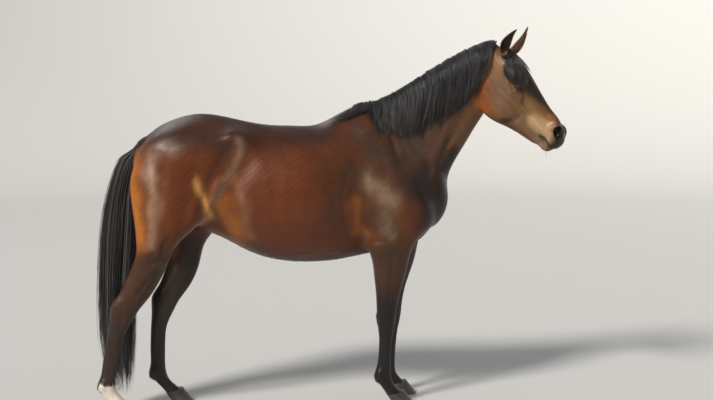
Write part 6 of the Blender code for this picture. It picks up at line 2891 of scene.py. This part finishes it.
def tuft_regions(coat: Coat) -> list[Tufts]:
    """The coat's tufts, region by region, finest on face and feet.

    Args:
        coat: tells which region a point is in.

    Returns:
        One set of tufts for each region.
    """

    def near(points: Array, place: Place, reach: float) -> Array:
        """1 at a place, fading out at a reach."""
        return np.exp(-((points - np.array(place))**2).sum(axis=1) / reach**2)

    def trunk(points: Array) -> Array:
        """Density on trunk and haunches."""
        legs, head = coat.leg_share(points), coat.head_share(points)
        return (1.0 - legs) * (1.0 - head) * (in_neck(points)[:, 0] < 0.16)

    def neck(points: Array) -> Array:
        """Density on the neck."""
        return (1.0 - coat.head_share(points)) * (in_neck(points)[:, 0] >= 0.16) \
            * (1.0 - coat.leg_share(points))

    def legs(points: Array) -> Array:
        """Density on the legs, highest behind the fetlocks.

        Args:
            points: places in the animal's own axes.

        Returns:
            How densely tufts stand at each point, as a share.
        """
        spots = coat.unposed(points)
        share = coat.leg_share(points) * (points[:, 2] > 0.066)
        return share * (1.0 + 5.0 * fetlock(spots))

    def fetlock(spots: Array) -> Array:
        """1 behind the fetlocks.

        Args:
            spots: places seen from the side.

        Returns:
            One number for each spot.
        """
        fore = np.exp(-(((spots[:, 0] - .372) / .022)**2 + ((spots[:, 2] - .150) / .030)**2))
        hind = np.exp(-(((spots[:, 0] + 1.096) / .022)**2 + ((spots[:, 2] - .150) / .030)**2))
        return fore + hind

    def head(points: Array) -> Array:
        """Density on the head; hardly any on bare skin, most in the ears and under the jaw.

        Args:
            points: places in the animal's own axes.

        Returns:
            How densely tufts stand at each point, as a share.
        """
        spots = in_head(points)
        jaw = np.exp(-((spots[:, 1] + 0.17) / 0.05)**2)
        return coat.head_share(points) * (1.0 - 0.97 * coat.bare(points)) \
            * (0.6 + 0.5 * jaw + 0.8 * ears(points))

    def ears(points: Array) -> Array:
        """1 in the ears' cups and on their rims.

        Args:
            points: places in the animal's own axes.

        Returns:
            One number for each point.
        """
        found = np.zeros(len(points))
        for side in SIDES:
            base, axis, opening, length = EARS[side]
            local = points - base
            share = (local @ axis) / length
            inside = (local @ opening > -0.018) & (share > 0.05) & (share < 0.92)
            found += inside * (np.linalg.norm(local, axis=1) < length * 1.05)
        return found

    def leg_length(points: Array) -> Array:
        """Short on the legs, long behind the fetlocks and at the coronet.

        Args:
            points: places in the animal's own axes.

        Returns:
            Metres.
        """
        spots = coat.unposed(points)
        coronet = np.exp(-((points[:, 2] - 0.078) / 0.012)**2)
        return 0.009 + 0.020 * fetlock(spots) + 0.004 * coronet

    def head_length(points: Array) -> Array:
        """Shortest on the face, longer under the jaw and in the ears.

        Args:
            points: places in the animal's own axes.

        Returns:
            Metres.
        """
        spots = in_head(points)
        jaw = np.exp(-((spots[:, 1] + 0.19) / 0.04)**2)
        muzzle = eased(spots[:, 0], 0.35, 0.50)
        return 0.0075 - 0.0030 * muzzle + 0.002 * jaw * (1.0 - muzzle) + 0.002 * ears(points)

    def trunk_length(points: Array) -> Array:
        """A little longer low on the belly."""
        belly = 1.0 - eased(points[:, 2], 0.78, 0.90)
        return 0.013 + 0.007 * belly

    def even(length: float) -> Callable[[Array], Array]:
        """One length everywhere."""
        return lambda points: np.full(len(points), length)

    return [Tufts("coat_trunk", 6600, 31, trunk, trunk_length),
            Tufts("coat_neck", 4600, 32, neck, even(0.012)),
            Tufts("coat_legs", 6600, 33, legs, leg_length, 0.10),
            Tufts("coat_head", 6600, 34, head, head_length)]


TUFT_SLOTS = {"coat_trunk": "trunk", "coat_neck": "neck", "coat_legs": "foreleg_right",
              "coat_head": "head"}


def main() -> None:
    """Build the horse piece by piece, then the studio round it."""
    logging.basicConfig(level=logging.INFO, format="%(message)s")
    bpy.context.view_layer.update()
    groups, anatomy, coat = Groups(), Anatomy(), Coat()
    skin = Skin(anatomy).build()
    coat.dress(skin)
    skin.data.materials.append(groups.finish(ShortCoat()))
    strands, tufts = strand_tree(), tuft_tree()
    black = groups.finish(LongHair())
    under = Mane(anatomy.flesh, "mane_under_locks", 21)
    over = Mane(anatomy.flesh, "mane_over_locks", 31, lift=0.005)
    finished(under.build(strands, black), "mane", "mane")
    finished(over.build(strands, black), "mane")
    finished(Forelock(anatomy.flesh).build(strands, black), "forelock", "forelock")
    tail_hair = LongHair("tail_hair", (.0290, .0280, .0280), (.0530, .0450, .0380), 0.38)
    finished(Tail().build(strands, groups.finish(tail_hair)), "tail", "tail")
    bristles = Bristles(anatomy.flesh)
    finished(bristles.whisker_piece(strands, black), "head")
    finished(bristles.lash_piece(strands, black), "head")
    tuft = tuft_shape()
    for region in tuft_regions(coat):
        piece = region.build(skin, coat, tuft, tufts, groups.finish(TuftCoat()))
        finished(piece, TUFT_SLOTS[region.name])
    bpy.data.objects.remove(tuft)
    finished(skin, "trunk", *FLESH_NODES)
    dark = Horn("dark_horn", (.040, .032, .027), (.075, .062, .052))
    pale = Horn("pale_horn", (.420, .330, .230), (.300, .230, .160))
    for pair in ("fore", "hind"):
        for side in Side:
            horn = pale if (pair, side) == ("hind", Side.RIGHT) else dark
            name = f"hoof_{pair}_{side.name.lower()}"
            finished(Hoof(pair, side).build(groups.finish(horn)), name, name)
    for side in Side:
        name = f"eye_{side.name.lower()}"
        finished(Eye(side).build(groups.finish(WetEye())), name, name)
    Studio().build(groups)


if __name__ == "__main__":
    main()
